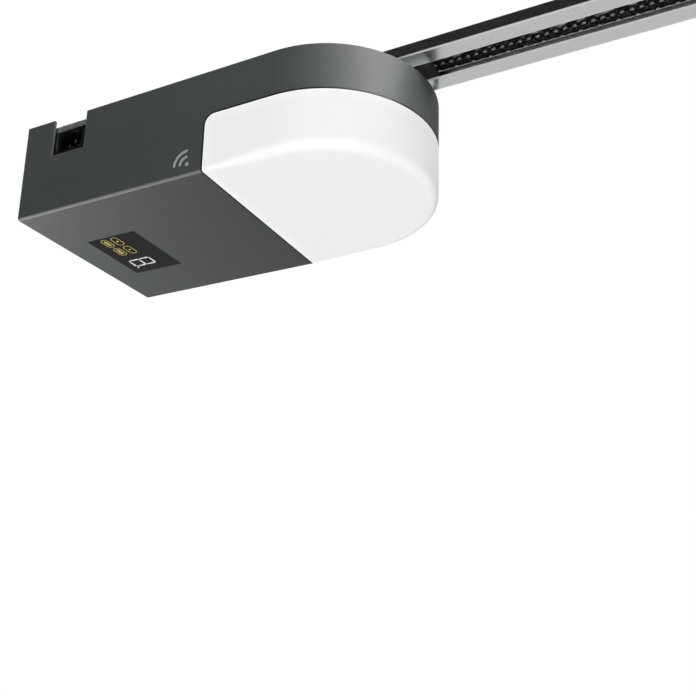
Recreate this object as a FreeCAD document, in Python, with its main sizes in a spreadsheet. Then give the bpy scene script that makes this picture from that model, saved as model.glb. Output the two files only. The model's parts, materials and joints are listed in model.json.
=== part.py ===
import FreeCAD, Part
import math
import os
import Sketcher

# A garage door opener: a drive head hung from the ceiling, a C-section rail with a chain in it,
# a trolley that pulls the door by an arm, and an idler at the wall end.
#
# The row frame: millimetres, +Z up, +X along the rail towards the door. The origin is the centre
# of the four ceiling screws over the head, in the plane of the ceiling. Inside the head it is
# easier to count from the square back end of the cover (x), the middle of the rail (y) and the
# underside of the cover (z), so the functions below are given places in those head coordinates,
# and put() carries each of them into the row frame.

doc = FreeCAD.newDocument("garage_door_opener")
sheet = doc.addObject("Spreadsheet::Sheet", "dims")

DRIVING = [
    # the head
    ("head_length", 376), ("head_width", 200), ("head_height", 98.5), ("wall", 2.5),
    ("wall_lean", 1.0), ("edge_round", 2.5), ("ceiling_gap", 51.5), ("hanger_from_back", 220),
    ("lamp_start", 207.6), ("lamp_height", 54.5), ("lamp_corner", 10), ("lamp_edge", 9),
    ("lamp_wall", 2.2), ("lamp_gap", 0.4), ("chassis_top", 93), ("sheet_metal", 2),
    # the control panel and its keys
    ("panel_start", 31), ("panel_length", 56), ("panel_side", -36), ("panel_width", 77),
    ("key_length", 17), ("key_width", 8), ("key_gap", 0.2),
    ("key_pitch_x", 12), ("key_pitch_y", 19), ("first_key_x", 47), ("first_key_y", -25),
    ("display_x", 53), ("display_y", 21),
    # the mains inlet
    ("inlet_x", 52), ("inlet_z", 75), ("inlet_face", -95.5),
    # the motor and its worm gear
    ("shaft_x", 160), ("shaft_radius", 6), ("gear_z", 57), ("gear_module", 2),
    ("wheel_teeth", 25), ("worm_diameter", 16), ("motor_radius", 22), ("motor_shaft_radius", 4),
    ("running_gap", 0.04),
    # the rail
    ("rail_start", 130), ("rail_piece", 978), ("rail_pieces", 3), ("rail_bottom", 113),
    ("rail_half_width", 28), ("rail_channel", 12.5), ("crown_half_width", 19),
    ("rail_height", 19.5), ("rail_sheet", 1.5), ("slot_half_width", 12),
    # the chain: 8 mm pitch, 10 teeth on both wheels
    ("chain_pitch", 8), ("chain_teeth", 10), ("chain_z", 125.8), ("chain_depth", 8.6),
    ("link_height", 7.1), ("roller_radius", 2.5), ("idler_x", 3108),
    # the trolley
    ("trolley_x", 2950), ("trolley_travel", 2480.6), ("shoe_half_length", 70),
    ("shoe_lead", 20),
    ("arm_pivot_x", 55), ("arm_pivot_z", 78), ("arm_reach", 400), ("arm_width", 25),
    ("pin_radius", 4),
    # the wall end
    ("wall_pivot_x", 3205), ("wall_pivot_z", 124), ("wall_face_x", 3240),
]

for row, (alias, number) in enumerate(DRIVING, start=1):
    sheet.set(f"A{row}", alias)
    sheet.set(f"B{row}", str(number))
    sheet.setAlias(f"B{row}", alias)
doc.recompute()


class Size:
    """A length in millimetres that carries the sheet expression it comes from."""

    def __init__(self, value, text):
        self.value = float(value)
        self.text = text

    def __add__(self, other):
        return Size(self.value + amount(other), f"({self.text} + {words(other)})")

    def __radd__(self, other):
        return Size(amount(other) + self.value, f"({words(other)} + {self.text})")

    def __sub__(self, other):
        return Size(self.value - amount(other), f"({self.text} - {words(other)})")

    def __rsub__(self, other):
        return Size(amount(other) - self.value, f"({words(other)} - {self.text})")

    def __mul__(self, other):
        return Size(self.value * amount(other), f"({self.text} * {words(other)})")

    __rmul__ = __mul__

    def __truediv__(self, other):
        return Size(self.value / amount(other), f"({self.text} / {words(other)})")

    def __neg__(self):
        return Size(-self.value, f"(0 - {self.text})")


def amount(size):
    return size.value if isinstance(size, Size) else float(size)


def words(size):
    return size.text if isinstance(size, Size) else f"{float(size):.6f}"


def bind(thing, prop, size):
    """Set a property to a size, tied to the sheet where the size comes from it."""
    if isinstance(size, Size):
        thing.setExpression(prop, size.text)
    else:
        setattr(thing, prop, size)


D = {alias: Size(number, f"dims.{alias}") for alias, number in DRIVING}

HALF = D["head_width"] / 2
NOSE_X = D["head_length"] - HALF
RIM = D["head_height"]
CEILING = D["head_height"] + D["ceiling_gap"]
WALL = D["wall"]
SHEET = D["sheet_metal"]
TOP = D["chassis_top"]
SHAFT_X = D["shaft_x"]
GEAR_Z = D["gear_z"]
WHEEL_PITCH = D["gear_module"] * D["wheel_teeth"] / 2
WORM_Y = -(WHEEL_PITCH + D["worm_diameter"] / 2)
RAIL_Z = D["rail_bottom"]
RAIL_TOP = D["rail_bottom"] + D["rail_height"]
RAIL_END = D["rail_start"] + D["rail_piece"] * D["rail_pieces"]
SPROCKET = amount(D["chain_pitch"]) / 2 / math.sin(math.pi / amount(D["chain_teeth"]))
CHAIN_LOW = D["chain_z"] - D["chain_depth"] / 2
TROLLEY = D["trolley_x"]
NODES = {}


# ---- building blocks -----------------------------------------------------------------------------


def put(thing, x, y, z, turn=None):
    """Place an object at a point given in head coordinates."""
    if turn is not None:
        thing.Placement = FreeCAD.Placement(FreeCAD.Vector(), turn)
    for axis, size in (("x", x - D["hanger_from_back"]), ("y", y), ("z", z - CEILING)):
        thing.setExpression(f"Placement.Base.{axis}", words(size))
    return thing


def box(name, low, high):
    """A block between two opposite corners."""
    block = doc.addObject("Part::Box", name)
    for prop, start, end in zip(("Length", "Width", "Height"), low, high):
        span = end - start
        bind(block, prop, span if isinstance(span, Size) else float(span))
    return put(block, *low)


TURNS = {
    "X": FreeCAD.Rotation(FreeCAD.Vector(0, 1, 0), 90),
    "Y": FreeCAD.Rotation(FreeCAD.Vector(1, 0, 0), -90),
    "Z": FreeCAD.Rotation(),
}


def rod(name, radius, start, length, axis="Z"):
    """A cylinder that runs from a point along a positive axis."""
    cylinder = doc.addObject("Part::Cylinder", name)
    bind(cylinder, "Radius", radius)
    bind(cylinder, "Height", length)
    return put(cylinder, *start, turn=TURNS[axis])


def cone(name, radius_low, radius_high, start, length, axis="Z"):
    """A truncated cone that runs from a point along a positive axis."""
    shape = doc.addObject("Part::Cone", name)
    bind(shape, "Radius1", radius_low)
    bind(shape, "Radius2", radius_high)
    bind(shape, "Height", length)
    return put(shape, *start, turn=TURNS[axis])


def hexagon(name, radius, start, length, axis="Z"):
    """A six-sided bar, as a bolt's head or a nut; radius is to the corners."""
    prism = doc.addObject("Part::Prism", name)
    prism.Polygon = 6
    bind(prism, "Circumradius", radius)
    bind(prism, "Height", length)
    return put(prism, *start, turn=TURNS[axis])


def fuse(name, *pieces):
    union = doc.addObject("Part::MultiFuse", name)
    union.Shapes = list(pieces)
    union.Refine = True
    return union


def cut(name, base, *tools):
    difference = doc.addObject("Part::Cut", name)
    difference.Base = base
    difference.Tool = tools[0] if len(tools) == 1 else fuse(f"{name}_tools", *tools)
    return difference


def common(name, first, second):
    overlap = doc.addObject("Part::Common", name)
    overlap.Base = first
    overlap.Tool = second
    return overlap


def several(name, *pieces):
    """Separate solids that share a node."""
    group = doc.addObject("Part::Compound", name)
    group.Links = list(pieces)
    return group


def slot_bar(name, centre, length, width, z_low, z_high, along="Y"):
    """A bar with two round ends, standing along Z."""
    x, y = centre
    radius = width / 2
    reach = length / 2 - radius
    if along == "Y":
        middle = box(f"{name}_middle", (x - radius, y - reach, z_low),
                     (x + radius, y + reach, z_high))
        ends = [(x, y - reach), (x, y + reach)]
    else:
        middle = box(f"{name}_middle", (x - reach, y - radius, z_low),
                     (x + reach, y + radius, z_high))
        ends = [(x - reach, y), (x + reach, y)]
    caps = [rod(f"{name}_end_{n}", radius, (ex, ey, z_low), z_high - z_low)
            for n, (ex, ey) in enumerate(ends)]
    return fuse(name, middle, *caps)


def origin_part(body, role):
    return next(f for f in body.Origin.OriginFeatures if f.Role == role)


def new_sketch(body, name, plane="XY_Plane"):
    sketch = body.newObject("Sketcher::SketchObject", name)
    sketch.AttachmentSupport = (origin_part(body, plane), [""])
    sketch.MapMode = "FlatFace"
    return sketch


def fix_point(sketch, curve, end, u, v):
    """Hold one point of a sketch at a place counted from the sketch's origin."""
    for kind, size in (("DistanceX", u), ("DistanceY", v)):
        n = sketch.addConstraint(Sketcher.Constraint(kind, -1, 1, curve, end, amount(size)))
        if isinstance(size, Size):
            sketch.setExpression(f"Constraints[{n}]", size.text)


def outline(body, name, corners, plane="XY_Plane"):
    """A closed outline of straight lines through the corners."""
    sketch = new_sketch(body, name, plane)
    points = [FreeCAD.Vector(amount(u), amount(v), 0) for u, v in corners]
    count = len(points)
    for n in range(count):
        sketch.addGeometry(Part.LineSegment(points[n], points[(n + 1) % count]))
    for n in range(count):
        sketch.addConstraint(Sketcher.Constraint("Coincident", n, 2, (n + 1) % count, 1))
    for n, (u, v) in enumerate(corners):
        fix_point(sketch, n, 1, u, v)
    return sketch


def pad(body, sketch, name, length, lean=None, both_ways=False):
    feature = body.newObject("PartDesign::Pad", name)
    feature.Profile = sketch
    if both_ways:
        feature.SideType = "Symmetric"
    bind(feature, "Length", length)
    if lean is not None:
        bind(feature, "TaperAngle", lean)
    return feature


def prism(name, corners, length, plane="XY_Plane", both_ways=False):
    """A body made by padding an outline."""
    body = doc.addObject("PartDesign::Body", name)
    sketch = outline(body, f"{name}_outline", corners, plane)
    pad(body, sketch, f"{name}_pad", length, both_ways=both_ways)
    return body


def round_nosed(name, back, half, z_low, height, edge=None):
    """A block with a square back and a half-round nose, wider at the top by the walls' lean.

    back is where its floor starts along x and half is half its floor's width; the walls lean
    outwards from there. edge rounds the floor's edges, all but the one at the back.
    """
    body = doc.addObject("PartDesign::Body", name)
    sketch = new_sketch(body, f"{name}_outline")
    x0, x1, r = amount(back), amount(NOSE_X), amount(half)
    corners = [FreeCAD.Vector(x, y, 0) for x, y in ((x1, r), (x0, r), (x0, -r), (x1, -r))]
    for first, second in zip(corners, corners[1:]):
        sketch.addGeometry(Part.LineSegment(first, second))
    quarter = math.pi / 2
    circle = Part.Circle(FreeCAD.Vector(x1, 0, 0), FreeCAD.Vector(0, 0, 1), r)
    arc = sketch.addGeometry(Part.ArcOfCircle(circle, -quarter, quarter))
    for n in range(2):
        sketch.addConstraint(Sketcher.Constraint("Coincident", n, 2, n + 1, 1))
    sketch.addConstraint(Sketcher.Constraint("Coincident", 2, 2, arc, 1))
    sketch.addConstraint(Sketcher.Constraint("Coincident", 0, 1, arc, 2))
    fix_point(sketch, 0, 1, NOSE_X, half)
    fix_point(sketch, 1, 1, back, half)
    fix_point(sketch, 2, 1, back, -half)
    fix_point(sketch, arc, 3, NOSE_X, 0)
    block = pad(body, sketch, f"{name}_pad", height, D["wall_lean"])
    if edge is not None:
        doc.recompute()
        floor = [n for n, e in enumerate(block.Shape.Edges, start=1)
                 if e.BoundBox.ZMax < 0.01 and e.BoundBox.XMax > amount(back) + 1]
        rounding = body.newObject("PartDesign::Fillet", f"{name}_fillet")
        rounding.Base = (block, [f"Edge{n}" for n in floor])
        bind(rounding, "Radius", edge)
        body.Tip = rounding
    return put(body, 0, 0, z_low)


def tapered_round(name, block, at_back, at_nose):
    """Round a nosed block's floor edges; along the straight sides the radius grows to the nose."""
    doc.recompute()
    floor = block.Shape.BoundBox.ZMin
    radii = []
    for n, edge in enumerate(block.Shape.Edges, start=1):
        if edge.BoundBox.ZMax > floor + 0.01 or edge.BoundBox.XLength < 1:
            continue
        ends = [at_nose, at_nose]
        if isinstance(edge.Curve, Part.Line):
            ends[0 if edge.Vertexes[0].X < edge.Vertexes[-1].X else 1] = at_back
        radii.append((n, *(amount(radius) for radius in ends)))
    rounding = doc.addObject("Part::Fillet", name)
    rounding.Base = block
    rounding.Edges = radii
    return rounding


def piece(node, thing):
    """Name a finished sub-part and remember it for export."""
    thing.Label = node
    NODES[node] = thing
    return thing


# ---- the head: cover, lamp and chassis -----------------------------------------------------------

LEAN_IN = amount(RIM) * math.tan(math.radians(amount(D["wall_lean"])))
FLOOR_HALF = HALF - LEAN_IN
FLOOR_BACK = LEAN_IN


def lamp_bay(name, inset, reach):
    """The space of the lamp: all of the round nose below the dark band, with one round corner."""
    start = D["lamp_start"] + inset
    top = D["lamp_height"] + (-inset)
    corner = D["lamp_corner"] - inset
    far = D["head_length"] + reach
    wide = HALF + reach
    lower = box(f"{name}_lower", (start, -wide, -reach), (far, wide, top - corner))
    upper = box(f"{name}_upper", (start + corner, -wide, -reach), (far, wide, top))
    turn = rod(f"{name}_corner", corner, (start + corner, -wide, top - corner), wide * 2, "Y")
    return fuse(name, lower, upper, turn)


BOSSES = [(12, -84), (12, 84), (192, -84), (192, 84), (300, -76), (300, 76)]


def housing_cover():
    """The moulded cover: open at the top, stepped over the lamp, notched for the mains inlet."""
    outer = round_nosed("cover_outer", FLOOR_BACK, FLOOR_HALF, 0, RIM, D["edge_round"])
    shell = cut("cover_shell", outer, lamp_bay("cover_bay", 0, D["wall"]))
    inner = round_nosed("cover_inner", FLOOR_BACK + WALL, FLOOR_HALF - WALL, WALL, RIM)
    hollow = cut("cover_hollow", inner, lamp_bay("cover_step", -WALL, D["wall"] * 2))
    open_shell = cut("cover_open_shell", shell, hollow)
    posts = []
    for n, (x, y) in enumerate(BOSSES):
        foot = WALL if x < amount(D["lamp_start"]) else D["lamp_height"] + WALL
        posts.append(rod(f"cover_post_{n}", 4.5, (x, y, foot), TOP - SHEET - foot))
    board_posts = [rod(f"board_post_{n}", 3.5, (x, y, WALL), 14 - WALL)
                   for n, (x, y) in enumerate([(18, -66), (18, 66), (144, -66), (144, 66)])]
    solid = fuse("cover_solid", open_shell, *posts, *board_posts)
    pilots = [rod(f"cover_pilot_{n}", 1.6, (x, y, TOP - 14), 20)
              for n, (x, y) in enumerate(BOSSES)]
    notch = box("cover_notch", (33, -HALF - 1, 60), (72, -HALF + 9, RIM + 1))
    start, side = D["panel_start"], D["panel_side"]
    window = box("cover_window", (start, side, -1),
                 (start + D["panel_length"], side + D["panel_width"], WALL + 1))
    piece("housing_cover", cut("housing_cover", solid, notch, window, *pilots))


def lamp_lens():
    """The opal lens under the round nose, flush with the cover's side wall."""
    gap, thick = D["lamp_gap"], D["lamp_wall"]
    outer = round_nosed("lens_outer", D["lamp_start"] - 2, FLOOR_HALF, 0, D["lamp_height"] + 6)
    outer = tapered_round("lens_outer_round", outer, D["edge_round"], D["lamp_edge"])
    shell = common("lens_shell", outer, lamp_bay("lens_bay", gap, D["wall"]))
    inner = round_nosed("lens_inner", D["lamp_start"] - 3, FLOOR_HALF - thick, thick,
                        D["lamp_height"] + 6)
    inner = tapered_round("lens_inner_round", inner, 0.5, D["lamp_edge"] - thick)
    piece("lamp_lens", cut("lamp_lens", shell, inner))


def chassis_plate():
    """The galvanised plate that everything in the head hangs from; the cover screws to it."""
    half = HALF - 4
    back = WALL + 1.5
    plate = fuse("chassis_outline",
                 box("chassis_back", (back, -half, TOP - SHEET), (NOSE_X, half, TOP)),
                 rod("chassis_nose", half, (NOSE_X, 0, TOP - SHEET), SHEET))
    lips = [box(f"chassis_lip_{n}", (24, y, TOP - 5), (184, y + SHEET, TOP - SHEET))
            for n, y in enumerate([-half, half - SHEET])]
    hanger = box("inlet_hanger", (30, -93.5, 58), (75, -92, TOP - SHEET))
    inlet_hole = box("inlet_hole", (D["inlet_x"] - 13.6, -96, D["inlet_z"] - 10.1),
                     (D["inlet_x"] + 13.6, -90, D["inlet_z"] + 10.1))
    shaft_hole = rod("chassis_shaft_hole", D["shaft_radius"] + 6, (SHAFT_X, 0, TOP - 4), 6)
    screw_holes = [rod(f"chassis_hole_{n}", 2.1, (x, y, TOP - 4), 6)
                   for n, (x, y) in enumerate(BOSSES + GEAR_POSTS + CORE_FEET)]
    saddle_holes = [rod(f"chassis_saddle_hole_{n}", 2.6, (x, y, TOP - 4), 6)
                    for n, (x, y) in enumerate(SADDLE_BOLTS)]
    solid = fuse("chassis_solid", plate, hanger, *lips)
    piece("chassis_plate", cut("chassis_plate", solid, inlet_hole, shaft_hole, *screw_holes,
                               *saddle_holes))


GEAR_POSTS = [(SHAFT_X + dx, dy) for dx in (-27, 27) for dy in (-20, 20)]
CORE_FEET = [(12, 40), (12, 72), (80, 40), (80, 72)]
SADDLE_BOLTS = [(146, -38), (254, -38), (146, 38), (254, 38)]


def head_screws():
    """The screws of the cover, the gearbox and the transformer: pan heads on the chassis."""
    screws = []
    for n, (x, y) in enumerate(BOSSES + GEAR_POSTS + CORE_FEET):
        head = rod(f"screw_head_{n}", 3.6, (x, y, TOP), 2.4)
        shank = rod(f"screw_shank_{n}", 1.55, (x, y, TOP - 10), 10)
        recess = box(f"screw_recess_{n}", (x - 0.5, y - 2.2, TOP + 1.4), (x + 0.5, y + 2.2, TOP + 3))
        screws.append(cut(f"screw_{n}", fuse(f"screw_solid_{n}", head, shank), recess))
    piece("head_screws", several("head_screws", *screws))


def led_board():
    """The lamp's round aluminium board with two rings of LEDs, under the band's floor."""
    x, face = NOSE_X, D["lamp_height"]
    board = rod("led_disc", 55, (x, 0, face - 1.6), 1.6)
    chips = []
    for ring, (radius, count) in enumerate([(26, 8), (46, 16)]):
        for n in range(count):
            angle = 2 * math.pi * n / count
            cx = amount(x) + radius * math.cos(angle)
            cy = radius * math.sin(angle)
            chips.append(box(f"led_{ring}_{n}", (cx - 2.5, cy - 2.5, amount(face) - 3.1),
                             (cx + 2.5, cy + 2.5, amount(face) - 1.6)))
    piece("led_board", fuse("led_board", board, *chips))


# ---- the control panel ---------------------------------------------------------------------------


def key_centres():
    return [(D["first_key_x"] + D["key_pitch_x"] * i, D["first_key_y"] + D["key_pitch_y"] * j)
            for i in range(2) for j in range(2)]


def control_panel():
    """The glossy black panel, flush with the underside, with a hole for each key."""
    start, side = D["panel_start"], D["panel_side"]
    end, far = start + D["panel_length"], side + D["panel_width"]
    slack = 0.15
    plate = box("panel_plate", (start + slack, side + slack, 0), (end - slack, far - slack, WALL))
    flange = box("panel_flange", (start - 3, side - 3, WALL), (end + 3, far + 3, WALL + 1.5))
    holes = [slot_bar(f"panel_key_hole_{n}", centre, D["key_length"] + D["key_gap"] * 2,
                      D["key_width"] + D["key_gap"] * 2, -1, WALL + 3)
             for n, centre in enumerate(key_centres())]
    x, y = D["display_x"], D["display_y"]
    pocket = box("panel_display_pocket", (x - 14, y - 11, 1), (x + 14, y + 11, WALL + 3))
    piece("control_panel", cut("control_panel", fuse("panel_solid", plate, flange), pocket, *holes))


def panel_keys():
    """Four oval keys; each has a rim behind the panel and a stud that works its switch."""
    back = WALL + 1.5
    for n, (x, y) in enumerate(key_centres(), start=1):
        cap = slot_bar(f"key_{n}_cap", (x, y), D["key_length"], D["key_width"], 0, back)
        rim = slot_bar(f"key_{n}_rim", (x, y), D["key_length"] + 1.4, D["key_width"] + 1.4,
                       back, back + 1)
        stud = rod(f"key_{n}_stud", 1.5, (x, y, back + 1), 2.4)
        piece(f"panel_key_{n}", fuse(f"panel_key_{n}", cap, rim, stud))


def display_module():
    """The one-digit display behind the panel, on four pins."""
    x, y = D["display_x"], D["display_y"]
    block = box("display_block", (x - 13.6, y - 10.6, 1.2), (x + 13.6, y + 10.6, 9.2))
    pins = [rod(f"display_pin_{n}", 0.4, (x + dx, y + dy, 9.2), 4.8)
            for n, (dx, dy) in enumerate([(-10, -6), (-10, 6), (10, -6), (10, 6)])]
    piece("display_module", fuse("display_module", block, *pins))


def control_board():
    """The circuit board with its switches, relay, capacitors and terminals."""
    low, high = 14, 15.6
    board = box("board_sheet", (12, -75, low), (152, 75, high))
    parts = []
    for n, (x, y) in enumerate(key_centres()):
        parts.append(box(f"switch_{n}", (x - 3, y - 3, 9), (x + 3, y + 3, low)))
        parts.append(rod(f"switch_stem_{n}", 1.6, (x, y, 8), 1))
    parts.append(box("relay_1", (100, 30, high), (128, 43, high + 15)))
    parts.append(box("relay_2", (100, 48, high), (128, 61, high + 15)))
    parts.append(rod("capacitor_1", 8, (40, -58, high), 18))
    parts.append(rod("capacitor_2", 8, (60, -58, high), 18))
    parts.append(box("terminals", (84, -72, high), (128, -62, high + 10)))
    parts.append(box("receiver", (20, 48, high), (60, 68, high + 4)))
    piece("control_board", fuse("control_board", board, *parts))


# ---- power: mains inlet and transformer ----------------------------------------------------------


def mains_inlet():
    """A three-pole appliance inlet: flange, body and the cavity that takes the plug."""
    x, z, face = D["inlet_x"], D["inlet_z"], D["inlet_face"]
    flange = box("inlet_flange", (x - 16, face, z - 12), (x + 16, face + 2, z + 12))
    shell = box("inlet_shell", (x - 13.5, face + 2, z - 10), (x + 13.5, face + 26, z + 10))
    solid = fuse("inlet_solid", flange, shell)
    half_w, half_h, cant = 12.25, 8.45, 4.2
    corners = [(x - half_w, z - half_h), (x + half_w, z - half_h), (x + half_w, z + half_h - cant),
               (x + half_w - cant, z + half_h), (x - half_w + cant, z + half_h),
               (x - half_w, z + half_h - cant)]
    depth = 23
    cavity = prism("inlet_cavity", corners, 2 * depth, "XZ_Plane", both_ways=True)
    put(cavity, 0, face, 0)
    piece("mains_inlet", cut("mains_inlet", solid, cavity))
    blades = []
    for n, (dx, dz) in enumerate([(-7, -2), (7, -2), (0, 2)]):
        blades.append(box(f"inlet_blade_{n}", (x + dx - 1, face + depth - 17, z + dz - 2),
                          (x + dx + 1, face + depth, z + dz + 2)))
    piece("inlet_pins", several("inlet_pins", *blades))


def transformer():
    """An iron core with two windows, and the winding round its middle limb."""
    x0, x1, y0, y1 = 16, 76, 36, 76
    low, high = 44, 88
    core = box("core_block", (x0, y0, low), (x1, y1, high))
    windows = [box(f"core_window_{n}", (x, y0 - 1, low + 10), (x + 10, y1 + 1, high - 10))
               for n, x in enumerate([x0 + 10, x1 - 20])]
    feet = [box(f"core_foot_{n}", (x, y0, high), (x + 12, y1, TOP - SHEET))
            for n, x in enumerate([x0 - 8, x1 - 4])]
    screw_ways = [rod(f"core_screw_way_{n}", 1.6, (x, y, high - 1), 6)
                  for n, (x, y) in enumerate(CORE_FEET)]
    piece("transformer_core", cut("transformer_core", fuse("core_solid", core, *feet), *windows,
                                  *screw_ways))
    coil = box("coil_block", (x0 + 10.3, y0 - 8, low + 10.3), (x1 - 10.3, y1 + 8, high - 10.3))
    limb = box("coil_hole", (x0 + 20, y0, low), (x1 - 20, y1, high))
    piece("transformer_winding", cut("transformer_winding", coil, limb))


# ---- motor and gearbox ---------------------------------------------------------------------------


GEARBOX_START = SHAFT_X - 35


def motor():
    """The direct-current motor: can, magnets, front plate and rotor, lying along x."""
    y, z, r, shaft = WORM_Y, GEAR_Z, D["motor_radius"], D["motor_shaft_radius"]
    front = GEARBOX_START
    bore = shaft + D["running_gap"]
    can = rod("can_outer", r, (front - 84, y, z), 78, "X")
    room = rod("can_room", r - 2, (front - 82, y, z), 80, "X")
    can_shell = cut("can_shell", can, room)
    boss = rod("can_boss", 8, (front - 90, y, z), 16, "X")
    hole = rod("can_hole", bore, (front - 88, y, z), 20, "X")
    piece("motor_can", cut("motor_can", fuse("can_with_boss", can_shell, boss), hole))
    ring = cut("magnet_ring", rod("magnet_outer", r - 2, (front - 70, y, z), 56, "X"),
               rod("magnet_inner", 17.6, (front - 71, y, z), 58, "X"))
    gap = box("magnet_gap", (front - 72, y - 30, z - 3), (front - 12, y + 30, z + 3))
    piece("motor_magnets", cut("motor_magnets", ring, gap))
    plate = rod("front_disc", r, (front - 6, y, z), 6, "X")
    plate_hole = rod("front_hole", bore, (front - 7, y, z), 8, "X")
    piece("motor_front_plate", cut("motor_front_plate", plate, plate_hole))
    core = rod("rotor_core", 17, (front - 66, y, z), 48, "X")
    commutator = rod("rotor_commutator", 9, (front - 14, y, z), 6, "X")
    neck = rod("rotor_neck", 6.5, (front - 18, y, z), 4, "X")
    rotor_bore = rod("rotor_bore", shaft, (front - 70, y, z), 66, "X")
    slots = []
    for n in range(12):
        turn = FreeCAD.Rotation(FreeCAD.Vector(1, 0, 0), 30 * n)
        corner = turn.multVec(FreeCAD.Vector(0, -1, 12.5))
        slot = box(f"rotor_slot_{n}", (0, -1, 12.5), (50, 1, 18))
        slots.append(put(slot, front - 67, y + corner.y, z + corner.z, turn))
    solid = fuse("rotor_solid", core, neck, commutator)
    piece("motor_rotor", cut("motor_rotor", solid, rotor_bore, *slots))


def worm_shaft():
    """The motor's shaft with a single-start worm on it, in mesh with the wheel at rest."""
    along = FreeCAD.Vector(1, 0, 0)
    pitch_radius = amount(D["worm_diameter"]) / 2
    module = amount(D["gear_module"])
    lead = math.pi * module
    root, tip = pitch_radius - 1.2 * module, pitch_radius + module
    middle = amount(SHAFT_X)
    start = amount(GEARBOX_START) - 87.5
    shaft = Part.makeCylinder(amount(D["motor_shaft_radius"]), 156,
                              FreeCAD.Vector(start, 0, 0), along)
    core = Part.makeCylinder(root, 42, FreeCAD.Vector(middle - 21, 0, 0), along)
    # the thread is a trapezoid carried along a helix; on the side that faces the wheel it
    # crosses in line with the output shaft, where the wheel has a gap
    turns = 5
    helix = Part.Wire(Part.makeHelix(lead, lead * turns, pitch_radius).Edges)
    half_root, half_tip = 0.61 * module, 0.22 * module
    sunk = root - 0.4
    corners = [(sunk, -half_root), (tip, -half_tip), (tip, half_tip), (sunk, half_root)]
    profile = Part.makePolygon([FreeCAD.Vector(r, 0, h) for r, h in corners + corners[:1]])
    thread = helix.makePipeShell([profile], True, True)
    # the helix starts on its own +X and climbs +Z; laid along x, it starts facing the wheel
    lay = FreeCAD.Rotation(FreeCAD.Vector(0, 1, 0), FreeCAD.Vector(0, 0, 1), along, "ZXY")
    thread.Placement = FreeCAD.Placement(FreeCAD.Vector(middle - lead * (turns // 2), 0, 0), lay)
    worm = doc.addObject("Part::Feature", "worm_shaft")
    worm.Shape = shaft.fuse([core, thread]).removeSplitter()
    piece("worm_shaft", put(worm, 0, WORM_Y, GEAR_Z))


def toothed_disc(name, root, height, cutter, teeth, bore):
    """A disc with one gap cut by an outline and repeated round it; a bore through the middle."""
    body = doc.addObject("PartDesign::Body", name)
    disc = new_sketch(body, f"{name}_disc")
    for radius in (root, bore):
        n = disc.addGeometry(Part.Circle(FreeCAD.Vector(), FreeCAD.Vector(0, 0, 1), amount(radius)))
        disc.addConstraint(Sketcher.Constraint("Coincident", n, 3, -1, 1))
        c = disc.addConstraint(Sketcher.Constraint("Radius", n, amount(radius)))
        disc.setExpression(f"Constraints[{c}]", words(radius))
    pad(body, disc, f"{name}_pad", height)
    gap = cutter(body)
    pocket = body.newObject("PartDesign::Pocket", f"{name}_gap")
    pocket.Profile = gap
    pocket.Type = "ThroughAll"
    pocket.SideType = "Symmetric"
    pattern = body.newObject("PartDesign::PolarPattern", f"{name}_gaps")
    pattern.Originals = [pocket]
    pattern.Axis = (origin_part(body, "Z_Axis"), [""])
    pattern.Angle = 360
    bind(pattern, "Occurrences", teeth)
    body.Tip = pattern
    return body


def worm_wheel():
    """The moulded wheel: 25 teeth, one gap of it facing the worm."""
    module = D["gear_module"]
    tip, root = WHEEL_PITCH + module, WHEEL_PITCH - module * 1.25
    wide_out, wide_in = 1.36 * amount(module), 0.75 * amount(module)

    def gap(body):
        return outline(body, "wheel_gap_outline", [
            (-wide_out, -(tip + 1)), (wide_out, -(tip + 1)), (wide_in, -root), (-wide_in, -root)])

    wheel = toothed_disc("worm_wheel_teeth", tip, 10, gap, D["wheel_teeth"], D["shaft_radius"])
    put(wheel, SHAFT_X, 0, GEAR_Z - 5)
    piece("worm_wheel", wheel)


def gearbox():
    """The die-cast gearbox with its lid, and the two bushes that carry the output shaft."""
    x, y, z, shaft = SHAFT_X, WORM_Y, GEAR_Z, D["shaft_radius"]
    start, end = GEARBOX_START, GEARBOX_START + 72
    block = box("gearbox_block", (start, -52, 40), (end, 33, 72))
    wheel_room = rod("gearbox_wheel_room", 28.5, (x, 0, 44), 30)
    worm_room = rod("gearbox_worm_room", 11.5, (start + 6, y, z), 58, "X")
    worm_way = box("gearbox_worm_way", (start + 6, y - 11.5, z), (start + 64, y + 11.5, 73))
    shaft_way = rod("gearbox_motor_way", D["motor_shaft_radius"] + D["running_gap"],
                    (start - 1, y, z), 70, "X")
    bush_seat = rod("gearbox_bush_seat", 9, (x, 0, 39), 6)
    piece("gearbox_housing", cut("gearbox_housing", block, wheel_room, worm_room, worm_way,
                                 shaft_way, bush_seat))
    lid = box("lid_plate", (start, -52, 72), (end, 33, 76))
    posts = [rod(f"lid_post_{n}", 4, (px, py, 76), TOP - SHEET - 76)
             for n, (px, py) in enumerate(GEAR_POSTS)]
    pilots = [rod(f"lid_pilot_{n}", 1.6, (px, py, TOP - 12), 12)
              for n, (px, py) in enumerate(GEAR_POSTS)]
    seat = rod("lid_bush_seat", 9, (x, 0, 71), 6)
    piece("gearbox_lid", cut("gearbox_lid", fuse("lid_solid", lid, *posts), seat, *pilots))
    bushes = []
    for n, (low, high) in enumerate([(40, 51.5), (62.5, 80)]):
        bushes.append(cut(f"bush_{n}", rod(f"bush_outer_{n}", 9, (x, 0, low), high - low),
                          rod(f"bush_bore_{n}", shaft + D["running_gap"], (x, 0, low - 1),
                              high - low + 2)))
    piece("output_bushes", several("output_bushes", *bushes))


def output_shaft():
    """The upright shaft from the worm wheel up to the sprocket in the rail."""
    top = D["chain_z"] + 4.6
    piece("output_shaft", rod("output_shaft", D["shaft_radius"], (SHAFT_X, 0, 42), top - 42))


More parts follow.
